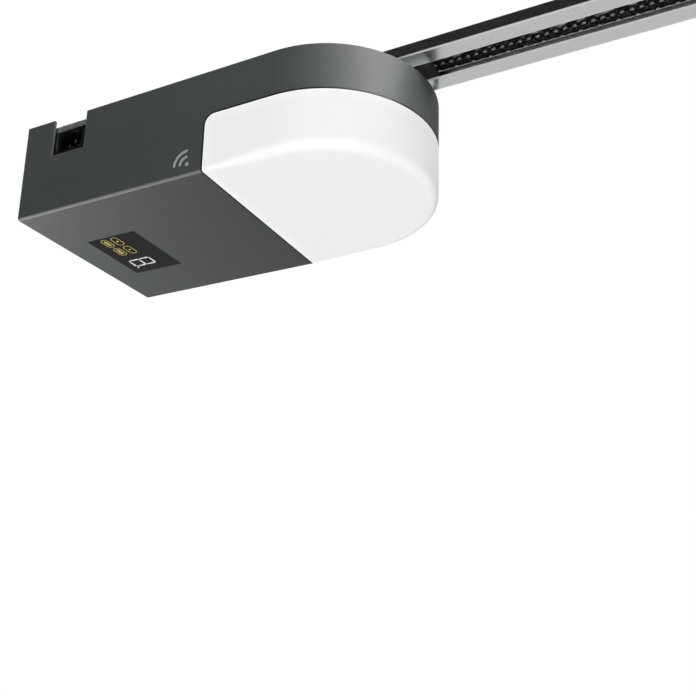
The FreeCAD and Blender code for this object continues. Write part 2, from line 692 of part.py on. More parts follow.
def chain_wheel(node, bore, hub_radius, hub_half):
    """A ten-tooth wheel for the chain, with a hub; it stands about the middle of the chain."""
    pitch = SPROCKET
    tip = pitch + 1.5
    roller = amount(D["roller_radius"]) + 0.15
    mouth = 3.2

    def gap(body):
        sketch = new_sketch(body, f"{node}_gap_outline")
        # a round seat for the roller, open to the outside between two leaning sides
        low, high = pitch, tip + 2
        points = [(-roller, low), (-mouth, high), (mouth, high), (roller, low)]
        vectors = [FreeCAD.Vector(u, v, 0) for u, v in points]
        for first, second in zip(vectors, vectors[1:]):
            sketch.addGeometry(Part.LineSegment(first, second))
        seat = Part.Arc(vectors[3], FreeCAD.Vector(0, pitch - roller, 0), vectors[0])
        arc = sketch.addGeometry(seat)
        for n in range(2):
            sketch.addConstraint(Sketcher.Constraint("Coincident", n, 2, n + 1, 1))
        # the arc runs anticlockwise from the left point through the bottom to the right point
        sketch.addConstraint(Sketcher.Constraint("Coincident", 0, 1, arc, 1))
        sketch.addConstraint(Sketcher.Constraint("Coincident", 2, 2, arc, 2))
        for n, (u, v) in enumerate(points[:3]):
            fix_point(sketch, n, 1, u, v)
        fix_point(sketch, 2, 2, *points[3])
        sketch.addConstraint(Sketcher.Constraint("DistanceY", -1, 1, arc, 3, pitch))
        return sketch

    teeth = toothed_disc(f"{node}_teeth", tip, 2.8, gap, D["chain_teeth"], bore)
    return teeth, hub_radius, hub_half


def drive_sprocket():
    teeth, radius, half = chain_wheel("drive_sprocket", D["shaft_radius"], 8.8, 4.4)
    middle = D["chain_z"]
    put(teeth, SHAFT_X, 0, middle - 1.4)
    hub = rod("sprocket_hub", radius, (SHAFT_X, 0, middle - half), 2 * half)
    bore = rod("sprocket_bore", D["shaft_radius"], (SHAFT_X, 0, middle - 6), 12)
    piece("drive_sprocket", fuse("drive_sprocket", teeth, cut("sprocket_ring", hub, bore)))


# ---- what holds the head: saddle, ceiling bridge and bolts ---------------------------------------


LEG_BOLT_Z = 103
LEG_BOLTS = [200, 240]
CEILING_HOLE_RADIUS = 3.25


def rail_saddle():
    """The folded seat on the chassis that the rail slides into."""
    inside, outside = D["rail_half_width"], D["rail_half_width"] + SHEET
    start, end = 135, 265
    floor = box("saddle_floor", (start, -inside, RAIL_Z - SHEET), (end, inside, RAIL_Z))
    shoulder = RAIL_Z + D["rail_channel"]
    solids = [floor]
    for side, (low, high) in enumerate([(-outside, -inside), (inside, outside)]):
        solids.append(box(f"saddle_web_{side}", (start, low, TOP), (end, high, shoulder + 1.5)))
        foot_low, foot_high = (low - 14, low) if side == 0 else (high, high + 14)
        solids.append(box(f"saddle_foot_{side}", (start, foot_low, TOP),
                          (end, foot_high, TOP + SHEET)))
        lip_low, lip_high = (low, low + 8) if side == 0 else (high - 8, high)
        for n, x in enumerate([start + 2, end - 18]):
            solids.append(box(f"saddle_finger_{side}_{n}", (x, lip_low, shoulder),
                              (x + 16, lip_high, shoulder + 1.5)))
    shaft_hole = rod("saddle_shaft_hole", D["shaft_radius"] + 5, (SHAFT_X, 0, RAIL_Z - 4), 6)
    bolt_holes = [rod(f"saddle_bolt_hole_{n}", 3.05, (x, -outside - 1, LEG_BOLT_Z),
                      outside * 2 + 2, "Y") for n, x in enumerate(LEG_BOLTS)]
    foot_holes = [rod(f"saddle_foot_hole_{n}", 2.6, (x, y, TOP - 1), 6)
                  for n, (x, y) in enumerate(SADDLE_BOLTS)]
    piece("rail_saddle", cut("rail_saddle", fuse("saddle_solid", *solids), shaft_hole, *bolt_holes,
                             *foot_holes))


def ceiling_bridge():
    """The bracket over the rail: screwed to the ceiling, its legs bolted to the saddle."""
    inner = D["rail_half_width"] + SHEET
    outer = inner + SHEET
    middle = D["hanger_from_back"]
    start, end = middle - 40, middle + 40
    plate = box("bridge_plate", (start, -outer, CEILING - SHEET), (end, outer, CEILING))
    legs = [box("bridge_leg_0", (start, -outer, TOP + SHEET + 1), (end, -inner, CEILING)),
            box("bridge_leg_1", (start, inner, TOP + SHEET + 1), (end, outer, CEILING))]
    holes = [rod(f"bridge_hole_{n}", CEILING_HOLE_RADIUS, (middle + dx, dy, CEILING - 4), 6)
             for n, (dx, dy) in enumerate([(-25, -18), (25, -18), (-25, 18), (25, 18)])]
    bolt_holes = [rod(f"bridge_bolt_hole_{n}", 3.05, (x, -outer - 1, LEG_BOLT_Z),
                      outer * 2 + 2, "Y") for n, x in enumerate(LEG_BOLTS)]
    piece("ceiling_bridge", cut("ceiling_bridge", fuse("bridge_solid", plate, *legs), *holes,
                                *bolt_holes))


def bolt(name, radius, head, start, grip, sign, axis):
    """A hexagon bolt and nut through a grip; start is under the head, sign the way it points."""
    x, y, z = start
    head_height, nut_height, spare = radius * 1.3, radius * 1.6, radius
    length = grip + nut_height + spare
    if axis == "Y":
        low = y if sign > 0 else y - length
        shank = rod(f"{name}_shank", radius, (x, low, z), length, "Y")
        head_at = y - head_height if sign > 0 else y
        top = hexagon(f"{name}_head", head, (x, head_at, z), head_height, "Y")
        nut_at = y + grip if sign > 0 else y - grip - nut_height
        nut = hexagon(f"{name}_nut", head, (x, nut_at, z), nut_height, "Y")
    else:
        low = z if sign > 0 else z - length
        shank = rod(f"{name}_shank", radius, (x, y, low), length)
        head_at = z - head_height if sign > 0 else z
        top = hexagon(f"{name}_head", head, (x, y, head_at), head_height)
        nut_at = z + grip if sign > 0 else z - grip - nut_height
        nut = hexagon(f"{name}_nut", head, (x, y, nut_at), nut_height)
    return fuse(name, shank, top, nut)


def bridge_bolts():
    """Bolts of the bridge's legs and of the saddle's feet, each with its nut."""
    outer = D["rail_half_width"] + SHEET * 2
    bolts = []
    for n, x in enumerate(LEG_BOLTS):
        bolts.append(bolt(f"leg_bolt_{n}_near", 3, 5.6, (x, -outer, LEG_BOLT_Z), SHEET * 2, 1, "Y"))
        bolts.append(bolt(f"leg_bolt_{n}_far", 3, 5.6, (x, outer, LEG_BOLT_Z), SHEET * 2, -1, "Y"))
    for n, (x, y) in enumerate(SADDLE_BOLTS):
        bolts.append(bolt(f"foot_bolt_{n}", 2.5, 4.6, (x, y, TOP + SHEET), SHEET * 2, -1, "Z"))
    piece("bridge_bolts", several("bridge_bolts", *bolts))


# ---- the rail ------------------------------------------------------------------------------------


def rail_section_outline(grow):
    """The rail's outline seen along x, grown outwards by a size; slot at the bottom."""
    z, half, crown = RAIL_Z, D["rail_half_width"] + grow, D["crown_half_width"] + grow
    low, shoulder, top = z - grow, z + D["rail_channel"] + grow, RAIL_TOP + grow
    return low, half, crown, shoulder, top


def channel(name, start, length, grow, sheet_thickness, slot):
    """A length of the rail's folded section, or of a sleeve that fits round it."""
    low, half, crown, shoulder, top = rail_section_outline(grow)
    t = sheet_thickness
    corners = [
        (slot, low), (half, low), (half, shoulder), (crown, shoulder), (crown, top),
        (-crown, top), (-crown, shoulder), (-half, shoulder), (-half, low), (-slot, low),
        (-slot, low + t), (t - half, low + t), (t - half, shoulder - t), (t - crown, shoulder - t),
        (t - crown, top - t), (crown - t, top - t), (crown - t, shoulder - t),
        (half - t, shoulder - t), (half - t, low + t), (slot, low + t),
    ]
    body = prism(name, corners, length, "YZ_Plane")
    return put(body, start, 0, 0)


def rail():
    """Three equal lengths of rail, end to end, sleeves over the joints, and a cap."""
    t, length = D["rail_sheet"], D["rail_piece"]
    for n in range(int(amount(D["rail_pieces"]))):
        name = f"rail_section_{n + 1}"
        piece(name, channel(name, D["rail_start"] + length * n, length, 0, t, D["slot_half_width"]))
    sleeves = [channel(f"rail_sleeve_{n}", D["rail_start"] + length * n - 60, 120, t, t,
                       D["slot_half_width"] + 3) for n in (1, 2)]
    piece("rail_joiners", several("rail_joiners", *sleeves))
    start, half = D["rail_start"], D["rail_half_width"]
    lower = box("cap_lower", (start - 2, -half, RAIL_Z), (start, half, RAIL_Z + D["rail_channel"]))
    crown = D["crown_half_width"]
    upper = box("cap_upper", (start - 2, -crown, RAIL_Z), (start, crown, RAIL_TOP))
    piece("rail_end_cap", fuse("rail_end_cap", lower, upper))


def rail_hanger():
    """The bracket that holds the middle of the rail to the ceiling."""
    inner = D["rail_half_width"]
    outer = inner + SHEET
    x = D["rail_start"] + D["rail_piece"] * 1.5
    start, end = x - 20, x + 20
    top = box("hanger_top", (start, -outer, CEILING - SHEET), (end, outer, CEILING))
    solids = [top]
    for side, (low, high) in enumerate([(-outer, -inner), (inner, outer)]):
        solids.append(box(f"hanger_leg_{side}", (start, low, RAIL_Z - SHEET), (end, high, CEILING)))
        lip_low, lip_high = (low, low + 14) if side == 0 else (high - 14, high)
        solids.append(box(f"hanger_lip_{side}", (start, lip_low, RAIL_Z - SHEET),
                          (end, lip_high, RAIL_Z)))
    holes = [rod(f"hanger_hole_{n}", CEILING_HOLE_RADIUS, (x, y, CEILING - 4), 6)
             for n, y in enumerate([-18, 18])]
    piece("rail_hanger", cut("rail_hanger", fuse("hanger_solid", *solids), *holes))


def loop(name, radius, low, high):
    """A flat racetrack round both wheels' axes."""
    start, end = SHAFT_X, D["idler_x"]
    straight = box(f"{name}_straight", (start, -radius, low), (end, radius, high))
    turns = [rod(f"{name}_turn_{n}", radius, (x, 0, low), high - low)
             for n, x in enumerate([start, end])]
    return fuse(name, straight, *turns)


def drive_chain():
    """The chain as one closed loop: the outer shape of its plates, open inwards for the teeth."""
    half, reach = D["link_height"] / 2, D["chain_depth"] / 2
    middle = D["chain_z"]
    band = cut("chain_band", loop("chain_outside", half + SPROCKET, middle - reach, middle + reach),
               loop("chain_inside", SPROCKET - half, middle - reach - 1, middle + reach + 1))
    groove = loop("chain_groove", 14.9, middle - 1.75, middle + 1.75)
    piece("drive_chain", cut("drive_chain", band, groove))


def rail_stops():
    """Rubber-faced blocks in the channel that end the trolley's travel."""
    low, high = RAIL_Z + D["rail_sheet"], CHAIN_LOW - 0.9
    half = D["rail_half_width"] - D["rail_sheet"]
    near = TROLLEY - D["trolley_travel"] - D["shoe_half_length"] - D["shoe_lead"] - 1
    far = TROLLEY + D["shoe_half_length"] + 1
    blocks = [box("stop_head_end", (near - 30, -half, low), (near, half, high)),
              box("stop_door_end", (far, -half, low), (far + 24, half, high))]
    piece("rail_stops", several("rail_stops", *blocks))


# ---- the trolley ---------------------------------------------------------------------------------


BODY_LOW = 50
LEVER_X = 24
LEVER_Z = 84


def trolley():
    """The shoe in the rail, the body below it and the shuttle that the chain pulls."""
    x, shoe = TROLLEY, D["shoe_half_length"]
    half = D["rail_half_width"] - D["rail_sheet"] - 0.6
    low, high = RAIL_Z + D["rail_sheet"] + 0.6, CHAIN_LOW - 0.9
    front = x - shoe - D["shoe_lead"]
    slab = box("shoe_slab", (front, -half, low), (x + shoe, half, high))
    ribs = [box(f"shoe_rib_{n}", (front, start, low), (x + shoe, end, high + 2.6))
            for n, (start, end) in enumerate([(-half, -19), (19, half)])]
    neck = box("shoe_neck", (x - shoe + 5, -11.2, 109), (x + shoe - 5, 11.2, low))
    pin_hole = rod("shoe_pin_hole", 3.08, (x, 0, 100), 40)
    piece("trolley_shoe", cut("trolley_shoe", fuse("shoe_solid", slab, neck, *ribs), pin_hole))

    block = box("body_block", (x - 62, -15, BODY_LOW), (x + 70, 15, 109))
    room = box("body_room", (x - 50, -7.5, BODY_LOW + 4), (x + 30, 7.5, 101))
    mouth = box("body_mouth", (x - 63, -7.5, BODY_LOW - 1), (x - 49, 7.5, 96))
    arm_slot = box("body_arm_slot", (x + 33, -7.5, BODY_LOW - 1), (x + 71, 7.5, 101))
    arm_hole = rod("body_arm_hole", D["pin_radius"], (x + D["arm_pivot_x"], -16, D["arm_pivot_z"]),
                   32, "Y")
    lever_hole = rod("body_lever_hole", 2.5, (x + LEVER_X, -16, LEVER_Z), 32, "Y")
    pin_way = rod("body_pin_way", 3.08, (x, 0, BODY_LOW - 2), 64)
    piece("trolley_body", cut("trolley_body", block, room, mouth, arm_slot, arm_hole, lever_hole,
                              pin_way))

    tongue = box("shuttle_block", (x - 30, -8.6, high), (x + 30, 8.6, D["chain_z"] + 3.6))
    socket = rod("shuttle_socket", 3.2, (x, 0, high - 1), 6.5)
    piece("chain_shuttle", cut("chain_shuttle", tongue, socket))


def release_gear():
    """The lever on its pin, the latch pin that it pulls down, and the spring under its collar."""
    x = TROLLEY
    bar = box("lever_bar", (x - 72, -5, LEVER_Z - 2.5), (x + LEVER_X, 5, LEVER_Z + 2.5))
    eye = rod("lever_eye", 7, (x - 76, 0, LEVER_Z - 2.5), 5)
    knuckle = rod("lever_knuckle", 5, (x + LEVER_X, -5, LEVER_Z), 10, "Y")
    eye_hole = rod("lever_eye_hole", 3.5, (x - 76, 0, LEVER_Z - 4), 8)
    pivot_hole = rod("lever_pivot_hole", 2.55, (x + LEVER_X, -6, LEVER_Z), 12, "Y")
    pin_slot = slot_bar("lever_pin_slot", (x, 0), 13, 7.4, LEVER_Z - 4, LEVER_Z + 4, "X")
    piece("release_lever", cut("release_lever", fuse("lever_solid", bar, eye, knuckle), eye_hole,
                               pivot_hole, pin_slot))
    piece("lever_pin", rod("lever_pin", 2.5, (x + LEVER_X, -15, LEVER_Z), 30, "Y"))
    stem = rod("pin_stem", 3, (x, 0, BODY_LOW - 4), 78)
    collar = rod("pin_collar", 6, (x, 0, LEVER_Z - 6.2), 3.4)
    piece("release_pin", fuse("release_pin", stem, collar))
    seat = BODY_LOW + 4
    coil = rod("spring_outer", 5, (x, 0, seat), LEVER_Z - 6.2 - seat)
    hole = rod("spring_inner", 3.6, (x, 0, seat - 1), 30)
    piece("release_spring", cut("release_spring", coil, hole))


def strap(name, y_low, thickness, z_low, z_high, width, holes, centre_x):
    """A flat steel bar standing along z with round ends and holes through it."""
    radius = width / 2
    middle = box(f"{name}_bar", (centre_x - radius, y_low, z_low),
                 (centre_x + radius, y_low + thickness, z_high))
    ends = [rod(f"{name}_end_{n}", radius, (centre_x, y_low, z), thickness, "Y")
            for n, z in enumerate([z_low, z_high])]
    tools = [rod(f"{name}_hole_{n}", radius_hole, (centre_x, y_low - 1, z), thickness + 2, "Y")
             for n, (z, radius_hole) in enumerate(holes)]
    return cut(name, fuse(f"{name}_solid", middle, *ends), *tools)


def door_arm():
    """Two flat bars lapped and bolted, hanging from the trolley down to the door's bracket."""
    x = TROLLEY + D["arm_pivot_x"]
    high = D["arm_pivot_z"]
    low = high - D["arm_reach"]
    pin_hole = D["pin_radius"] + 0.06
    lap_low, lap_high = high - 250, high - 160
    spare = [lap_low - 45 * n for n in range(1, 3)]
    upper = strap("door_arm_upper", -4, 4, lap_low, high, D["arm_width"],
                  [(high, pin_hole), (lap_low, 3.1), (lap_high, 3.1), (high - 60, 3.1),
                   (high - 110, 3.1)], x)
    piece("door_arm_upper", upper)
    lower = strap("door_arm_lower", 0, 4, low, lap_high, D["arm_width"],
                  [(low, pin_hole), (lap_low, 3.1), (lap_high, 3.1)] + [(z, 3.1) for z in spare], x)
    piece("door_arm_lower", lower)
    bolts = [bolt(f"arm_bolt_{n}", 3, 5.6, (x, -4, z), 8, 1, "Y")
             for n, z in enumerate([lap_low, lap_high])]
    piece("arm_bolts", several("arm_bolts", *bolts))
    bar = rod("arm_pin_bar", D["pin_radius"], (x, -17, high), 34, "Y")
    flange = rod("arm_pin_head", 6.5, (x, -18.5, high), 3.3, "Y")
    piece("arm_pin", fuse("arm_pin", bar, flange))


def door_bracket():
    """The bracket on the door: two ears on a base plate, hanging level at rest."""
    x = TROLLEY + D["arm_pivot_x"]
    pivot = D["arm_pivot_z"] - D["arm_reach"]
    base = pivot - 30
    plate = box("door_plate", (x - 40, -30, base - 2.5), (x + 40, 30, base))
    ears, holes = [plate], []
    for side, y in enumerate([-10.5, 8]):
        ears.append(box(f"door_ear_{side}", (x - 11, y, base), (x + 11, y + 2.5, pivot)))
        ears.append(rod(f"door_ear_end_{side}", 11, (x, y, pivot), 2.5, "Y"))
    holes.append(rod("door_pin_hole", D["pin_radius"] , (x, -12, pivot), 24, "Y"))
    for n, (dx, dy) in enumerate([(-30, -20), (30, -20), (-30, 20), (30, 20)]):
        holes.append(rod(f"door_hole_{n}", 3.3, (x + dx, dy, base - 4), 6))
    piece("door_bracket", cut("door_bracket", fuse("door_bracket_solid", *ears), *holes))
    bar = rod("door_pin_bar", D["pin_radius"], (x, -13, pivot), 26, "Y")
    head = rod("door_pin_head", 6.5, (x, -15, pivot), 4.5, "Y")
    piece("door_pin", fuse("door_pin", bar, head))


# ---- the wall end --------------------------------------------------------------------------------


def end_fitting():
    """The cast end of the rail: it holds the idler's fork and two ears for the wall bracket."""
    start, end, half = RAIL_END - 20, RAIL_END + 110, D["rail_half_width"]
    ceiling_of_room = RAIL_TOP + 3.5
    block = box("fitting_block", (start, -half - 3, RAIL_Z - 3), (end, half + 3, ceiling_of_room + 3))
    room = box("fitting_room", (start - 1, -half, RAIL_Z), (end - 4, half, ceiling_of_room))
    ears, eyes = [], []
    px, pz = D["wall_pivot_x"], D["wall_pivot_z"]
    for side, y in enumerate([-half - 3, half - 3]):
        ears.append(box(f"fitting_ear_{side}", (end - 4, y, pz - 10), (px, y + 6, pz + 10)))
        ears.append(rod(f"fitting_ear_end_{side}", 10, (px, y, pz), 6, "Y"))
    eye = rod("fitting_eye", 5.05, (px, -half - 5, pz), half * 2 + 10, "Y")
    bolt_way = rod("fitting_bolt_way", 3.2, (end - 8, 0, D["chain_z"]), 12, "X")
    solid = fuse("fitting_solid", block, *ears)
    piece("end_fitting", cut("end_fitting", solid, room, eye, bolt_way))


def idler():
    """The wheel that returns the chain, its axle, the fork and the screw that tightens it."""
    x, z = D["idler_x"], D["chain_z"]
    teeth, radius, half = chain_wheel("idler_wheel", D["pin_radius"] + D["running_gap"], 8.8, 4.2)
    put(teeth, x, 0, z - 1.4)
    hub = rod("idler_hub", radius, (x, 0, z - half), 2 * half)
    bore = rod("idler_bore", D["pin_radius"] + D["running_gap"], (x, 0, z - 6), 12)
    piece("idler_wheel", fuse("idler_wheel", teeth, cut("idler_ring", hub, bore)))

    low, high = CHAIN_LOW - 4.5, RAIL_TOP + 0.5
    back = x + 26
    lower = box("fork_lower", (x - 10, -11, low), (back, 11, low + 2.5))
    upper = box("fork_upper", (x - 10, -11, high), (back, 11, high + 2.5))
    web = box("fork_web", (back, -11, low), (back + 4, 11, high + 2.5))
    axle_hole = rod("fork_axle_hole", D["pin_radius"], (x, 0, low - 2), 30)
    bolt_hole = rod("fork_bolt_hole", 3, (back - 1, 0, z), 8, "X")
    piece("idler_fork", cut("idler_fork", fuse("fork_solid", lower, upper, web), axle_hole,
                            bolt_hole))
    piece("idler_axle", rod("idler_axle", D["pin_radius"], (x, 0, low - 1), high - low + 3.5))

    end = RAIL_END + 110
    head = hexagon("tension_head", 5.6, (back - 4, 0, z), 4, "X")
    shank = rod("tension_shank", 3, (back, 0, z), end - back + 20, "X")
    piece("tension_bolt", fuse("tension_bolt", head, shank))
    springs = []
    for n in range(3):
        at = end + 3 * n
        outer = cone(f"disc_spring_{n}", 7, 5.4, (at, 0, z), 2.6, "X")
        inner = cone(f"disc_spring_room_{n}", 5.6, 4, (at - 0.01, 0, z), 1.6, "X")
        hole = rod(f"disc_spring_hole_{n}", 3.05, (at - 1, 0, z), 6, "X")
        springs.append(cut(f"disc_spring_cut_{n}", outer, inner, hole))
    piece("disc_springs", several("disc_springs", *springs))
    nut = hexagon("tension_nut_block", 5.6, (end + 9, 0, z), 5, "X")
    nut_hole = rod("tension_nut_hole", 3, (end + 8, 0, z), 8, "X")
    piece("tension_nut", cut("tension_nut", nut, nut_hole))


def wall_bracket():
    """The bracket on the wall over the door, and the pivot bolt that the rail's end swings on."""
    px, pz, face = D["wall_pivot_x"], D["wall_pivot_z"], D["wall_face_x"]
    inner = D["rail_half_width"] + 3.5
    plate = box("wall_plate", (face - 3, -50, pz - 25), (face, 50, pz + 25))
    solids, holes = [plate], []
    for side, (low, high) in enumerate([(-inner - 3, -inner), (inner, inner + 3)]):
        solids.append(box(f"wall_ear_{side}", (px, low, pz - 11), (face - 3, high, pz + 11)))
        solids.append(rod(f"wall_ear_end_{side}", 11, (px, low, pz), 3, "Y"))
    holes.append(rod("wall_pin_hole", 5, (px, -40, pz), 80, "Y"))
    for n, (y, z) in enumerate([(-42, -16), (42, -16), (-42, 16), (42, 16)]):
        holes.append(rod(f"wall_hole_{n}", 3.5, (face - 5, y, pz + z), 8, "X"))
    piece("wall_bracket", cut("wall_bracket", fuse("wall_solid", *solids), *holes))
    reach = inner + 3
    bar = rod("wall_bolt_bar", 5, (px, -reach, pz), reach * 2 + 8, "Y")
    head = hexagon("wall_bolt_head", 9, (px, -reach - 6, pz), 6, "Y")
    nut = hexagon("wall_bolt_nut", 9, (px, reach, pz), 7, "Y")
    piece("wall_pivot_bolt", fuse("wall_pivot_bolt", bar, head, nut))


# ---- make, move into the row frame, check and export ---------------------------------------------

for make in (housing_cover, lamp_lens, chassis_plate, head_screws, led_board, control_panel,
             panel_keys, display_module, control_board, mains_inlet, transformer, motor, worm_shaft,
             worm_wheel, gearbox, output_shaft, drive_sprocket, rail_saddle, ceiling_bridge,
             bridge_bolts, rail, rail_hanger, drive_chain, rail_stops, trolley, release_gear,
             door_arm, door_bracket, end_fitting, idler, wall_bracket):
    make()
doc.recompute()

faults = [thing.Name for thing in doc.Objects
          if any(state in ("Invalid", "Error") for state in thing.State)]
if faults:
    raise RuntimeError(f"objects that failed to recompute: {faults}")

os.makedirs("parts", exist_ok=True)
for node, thing in NODES.items():
    shape = thing.Shape
    if shape.isNull() or not shape.isValid() or not shape.Solids:
        raise RuntimeError(f"{node} has no valid solid")
    shape.exportStep(f"parts/{node}.step")
    print(f"{node}: {len(shape.Solids)} solid(s), {shape.Volume / 1000:.2f} cm3")
print(f"{len(NODES)} sub-parts")
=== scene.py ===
# %% [markdown]
# # The looks of a garage door opener
# The real object is a drive head that hangs under a garage ceiling. It pulls a chain along a
# steel rail, and the chain pulls a trolley that moves the door. The shapes come finished from
# the workshop model. This lesson gives them their surfaces, swaps two plain stand-ins for a
# real chain and a real coil spring, prints the signs on the head, and sets up the studio.

# %% The tools of this lesson, and the finished shapes
import json
import math

import bmesh
import bpy
from mathutils import Matrix, Vector
from mathutils.bvhtree import BVHTree


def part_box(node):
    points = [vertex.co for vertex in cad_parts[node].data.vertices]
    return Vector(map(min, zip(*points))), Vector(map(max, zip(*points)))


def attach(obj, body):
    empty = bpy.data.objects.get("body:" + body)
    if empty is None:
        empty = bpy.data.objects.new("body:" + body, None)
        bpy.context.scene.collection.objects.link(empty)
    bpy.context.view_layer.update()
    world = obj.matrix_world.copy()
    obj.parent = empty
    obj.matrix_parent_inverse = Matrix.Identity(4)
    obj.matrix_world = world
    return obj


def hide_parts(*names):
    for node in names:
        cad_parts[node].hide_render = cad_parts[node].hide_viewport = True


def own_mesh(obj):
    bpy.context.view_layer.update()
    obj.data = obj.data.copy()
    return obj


MM = 0.001
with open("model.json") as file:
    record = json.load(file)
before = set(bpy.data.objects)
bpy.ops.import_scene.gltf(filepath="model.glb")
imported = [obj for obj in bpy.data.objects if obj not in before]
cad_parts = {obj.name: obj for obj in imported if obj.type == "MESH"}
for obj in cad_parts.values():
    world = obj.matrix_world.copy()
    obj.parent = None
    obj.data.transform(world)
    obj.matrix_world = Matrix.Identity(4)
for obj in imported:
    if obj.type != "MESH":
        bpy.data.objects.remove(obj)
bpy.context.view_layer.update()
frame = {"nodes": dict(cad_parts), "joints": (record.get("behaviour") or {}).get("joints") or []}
parts = frame["nodes"]

# %% [markdown]
# ## Where the camera stands
# The head is seen from below, from about the height of a person's chest, a little to one
# side. A camera can be turned by three angles or by naming the directions of its picture. The
# second way is used here: the line of sight comes from two angles, the picture's right and up
# follow from it, and a last small roll turns those two about the line of sight.

# %% The camera
STAND = Vector((0.42454, -0.67402, -0.57776))
yaw, pitch, roll = (math.radians(angle) for angle in (27.16, 20.88, 1.12))
sight = Vector((-math.sin(yaw) * math.cos(pitch), math.cos(yaw) * math.cos(pitch),
                math.sin(pitch)))
level = Vector((math.cos(yaw), math.sin(yaw), 0))
right = Matrix.Rotation(-roll, 3, sight) @ level
above = right.cross(sight)
camera = bpy.data.objects.new("camera", bpy.data.cameras.new("camera"))
camera.data.sensor_width, camera.data.lens = 36, 50.42
camera.data.clip_start, camera.data.clip_end = 0.01, 200
turned = Matrix((right, above, -sight)).transposed().to_4x4()
camera.matrix_world = Matrix.Translation(STAND) @ turned
bpy.context.scene.collection.objects.link(camera)
bpy.context.scene.camera = camera
print("looking along", [round(v, 3) for v in sight])

# %% [markdown]
# ## A plain colour scale
# A film-like colour scale rolls off the whites, which would turn a white studio grey. The
# standard scale keeps white as white, and dark plastic as dark as its number says.

# %% The colour scale
view = bpy.context.scene.view_settings
view.view_transform, view.look = "Standard", "None"
print("colours are shown by the", view.view_transform, "scale")

# %% [markdown]
# ## Writing shader maths as sums
# A finish is a small machine of nodes. Wiring each sum by hand hides what it computes, so one
# class wraps an output socket and answers to plus, minus, times and powers: each sum adds the
# Math node that does it. A second class holds one tree of nodes and makes any other kind.


# %% A socket that can be added and multiplied
class Signal:
    """An output of a tree of nodes that takes part in sums."""

    def __init__(self, tree, socket):
        self.tree, self.socket = tree, socket

    def maths(self, operation, *values):
        return self.tree.make("ShaderNodeMath", {"operation": operation},
                              dict(enumerate(values)))

    def at_least(self, least):
        return self.maths("MAXIMUM", self, least)

    def at_most(self, most):
        return self.maths("MINIMUM", self, most)

    def __add__(self, other):
        return self.maths("ADD", self, other)

    def __sub__(self, other):
        return self.maths("SUBTRACT", self, other)

    def __rsub__(self, other):
        return self.maths("SUBTRACT", other, self)

    def __mul__(self, other):
        return self.maths("MULTIPLY", self, other)

    def __pow__(self, other):
        return self.maths("POWER", self, other)

    def __gt__(self, other):
        return self.maths("GREATER_THAN", self, other)

    def __lt__(self, other):
        return self.maths("LESS_THAN", self, other)

    __radd__, __rmul__ = __add__, __mul__


# %% A tree of nodes
class Tree:
    """The nodes of one finish or of the sky."""

    def __init__(self, nodes):
        self.nodes = nodes

    def make(self, kind, settings, sockets, output=0):
        """Adds a node. Its settings come first, because they decide which sockets it has."""
        node = self.nodes.nodes.new(kind)
        for name, value in settings.items():
            setattr(node, name, value)
        for name, value in sockets.items():
            self.feed(node.inputs[name], value)
        return Signal(self, node.outputs[output])

    def feed(self, socket, value):
        """Links a signal to a socket, or sets it; a colour may leave its fourth number out."""
        if isinstance(value, Signal):
            self.nodes.links.new(value.socket, socket)
        elif isinstance(value, tuple) and len(value) == 3 and len(socket.default_value) == 4:
            socket.default_value = (*value, 1)
        else:
            socket.default_value = value

    def between(self, value, low, high, start=0.0, end=1.0):
        """A number that goes smoothly from start to end while value goes from low to high."""
        return self.make("ShaderNodeMapRange", {"interpolation_type": "SMOOTHSTEP"},
                         {0: value, 1: low, 2: high, 3: start, 4: end})

    def band(self, value, start, full, fade, end):
        """1 while value is between two limits, with a soft step at each."""
        return self.between(value, start, full) * self.between(value, fade, end, 1.0, 0.0)

    def blend(self, share, first, second):
        """Goes from the first colour to the second as share goes from 0 to 1."""
        return self.make("ShaderNodeMix", {"data_type": "RGBA"},
                         {0: share, 6: first, 7: second}, output=2)


# %% [markdown]
# ## What each finish starts from
# Every finish here is the one general shader with three things that change over the surface:
# its colour, how rough it is, and a relief too small to model. Patterns read the part's own
# coordinates in metres, so a grain of half a millimetre is half a millimetre on every part.


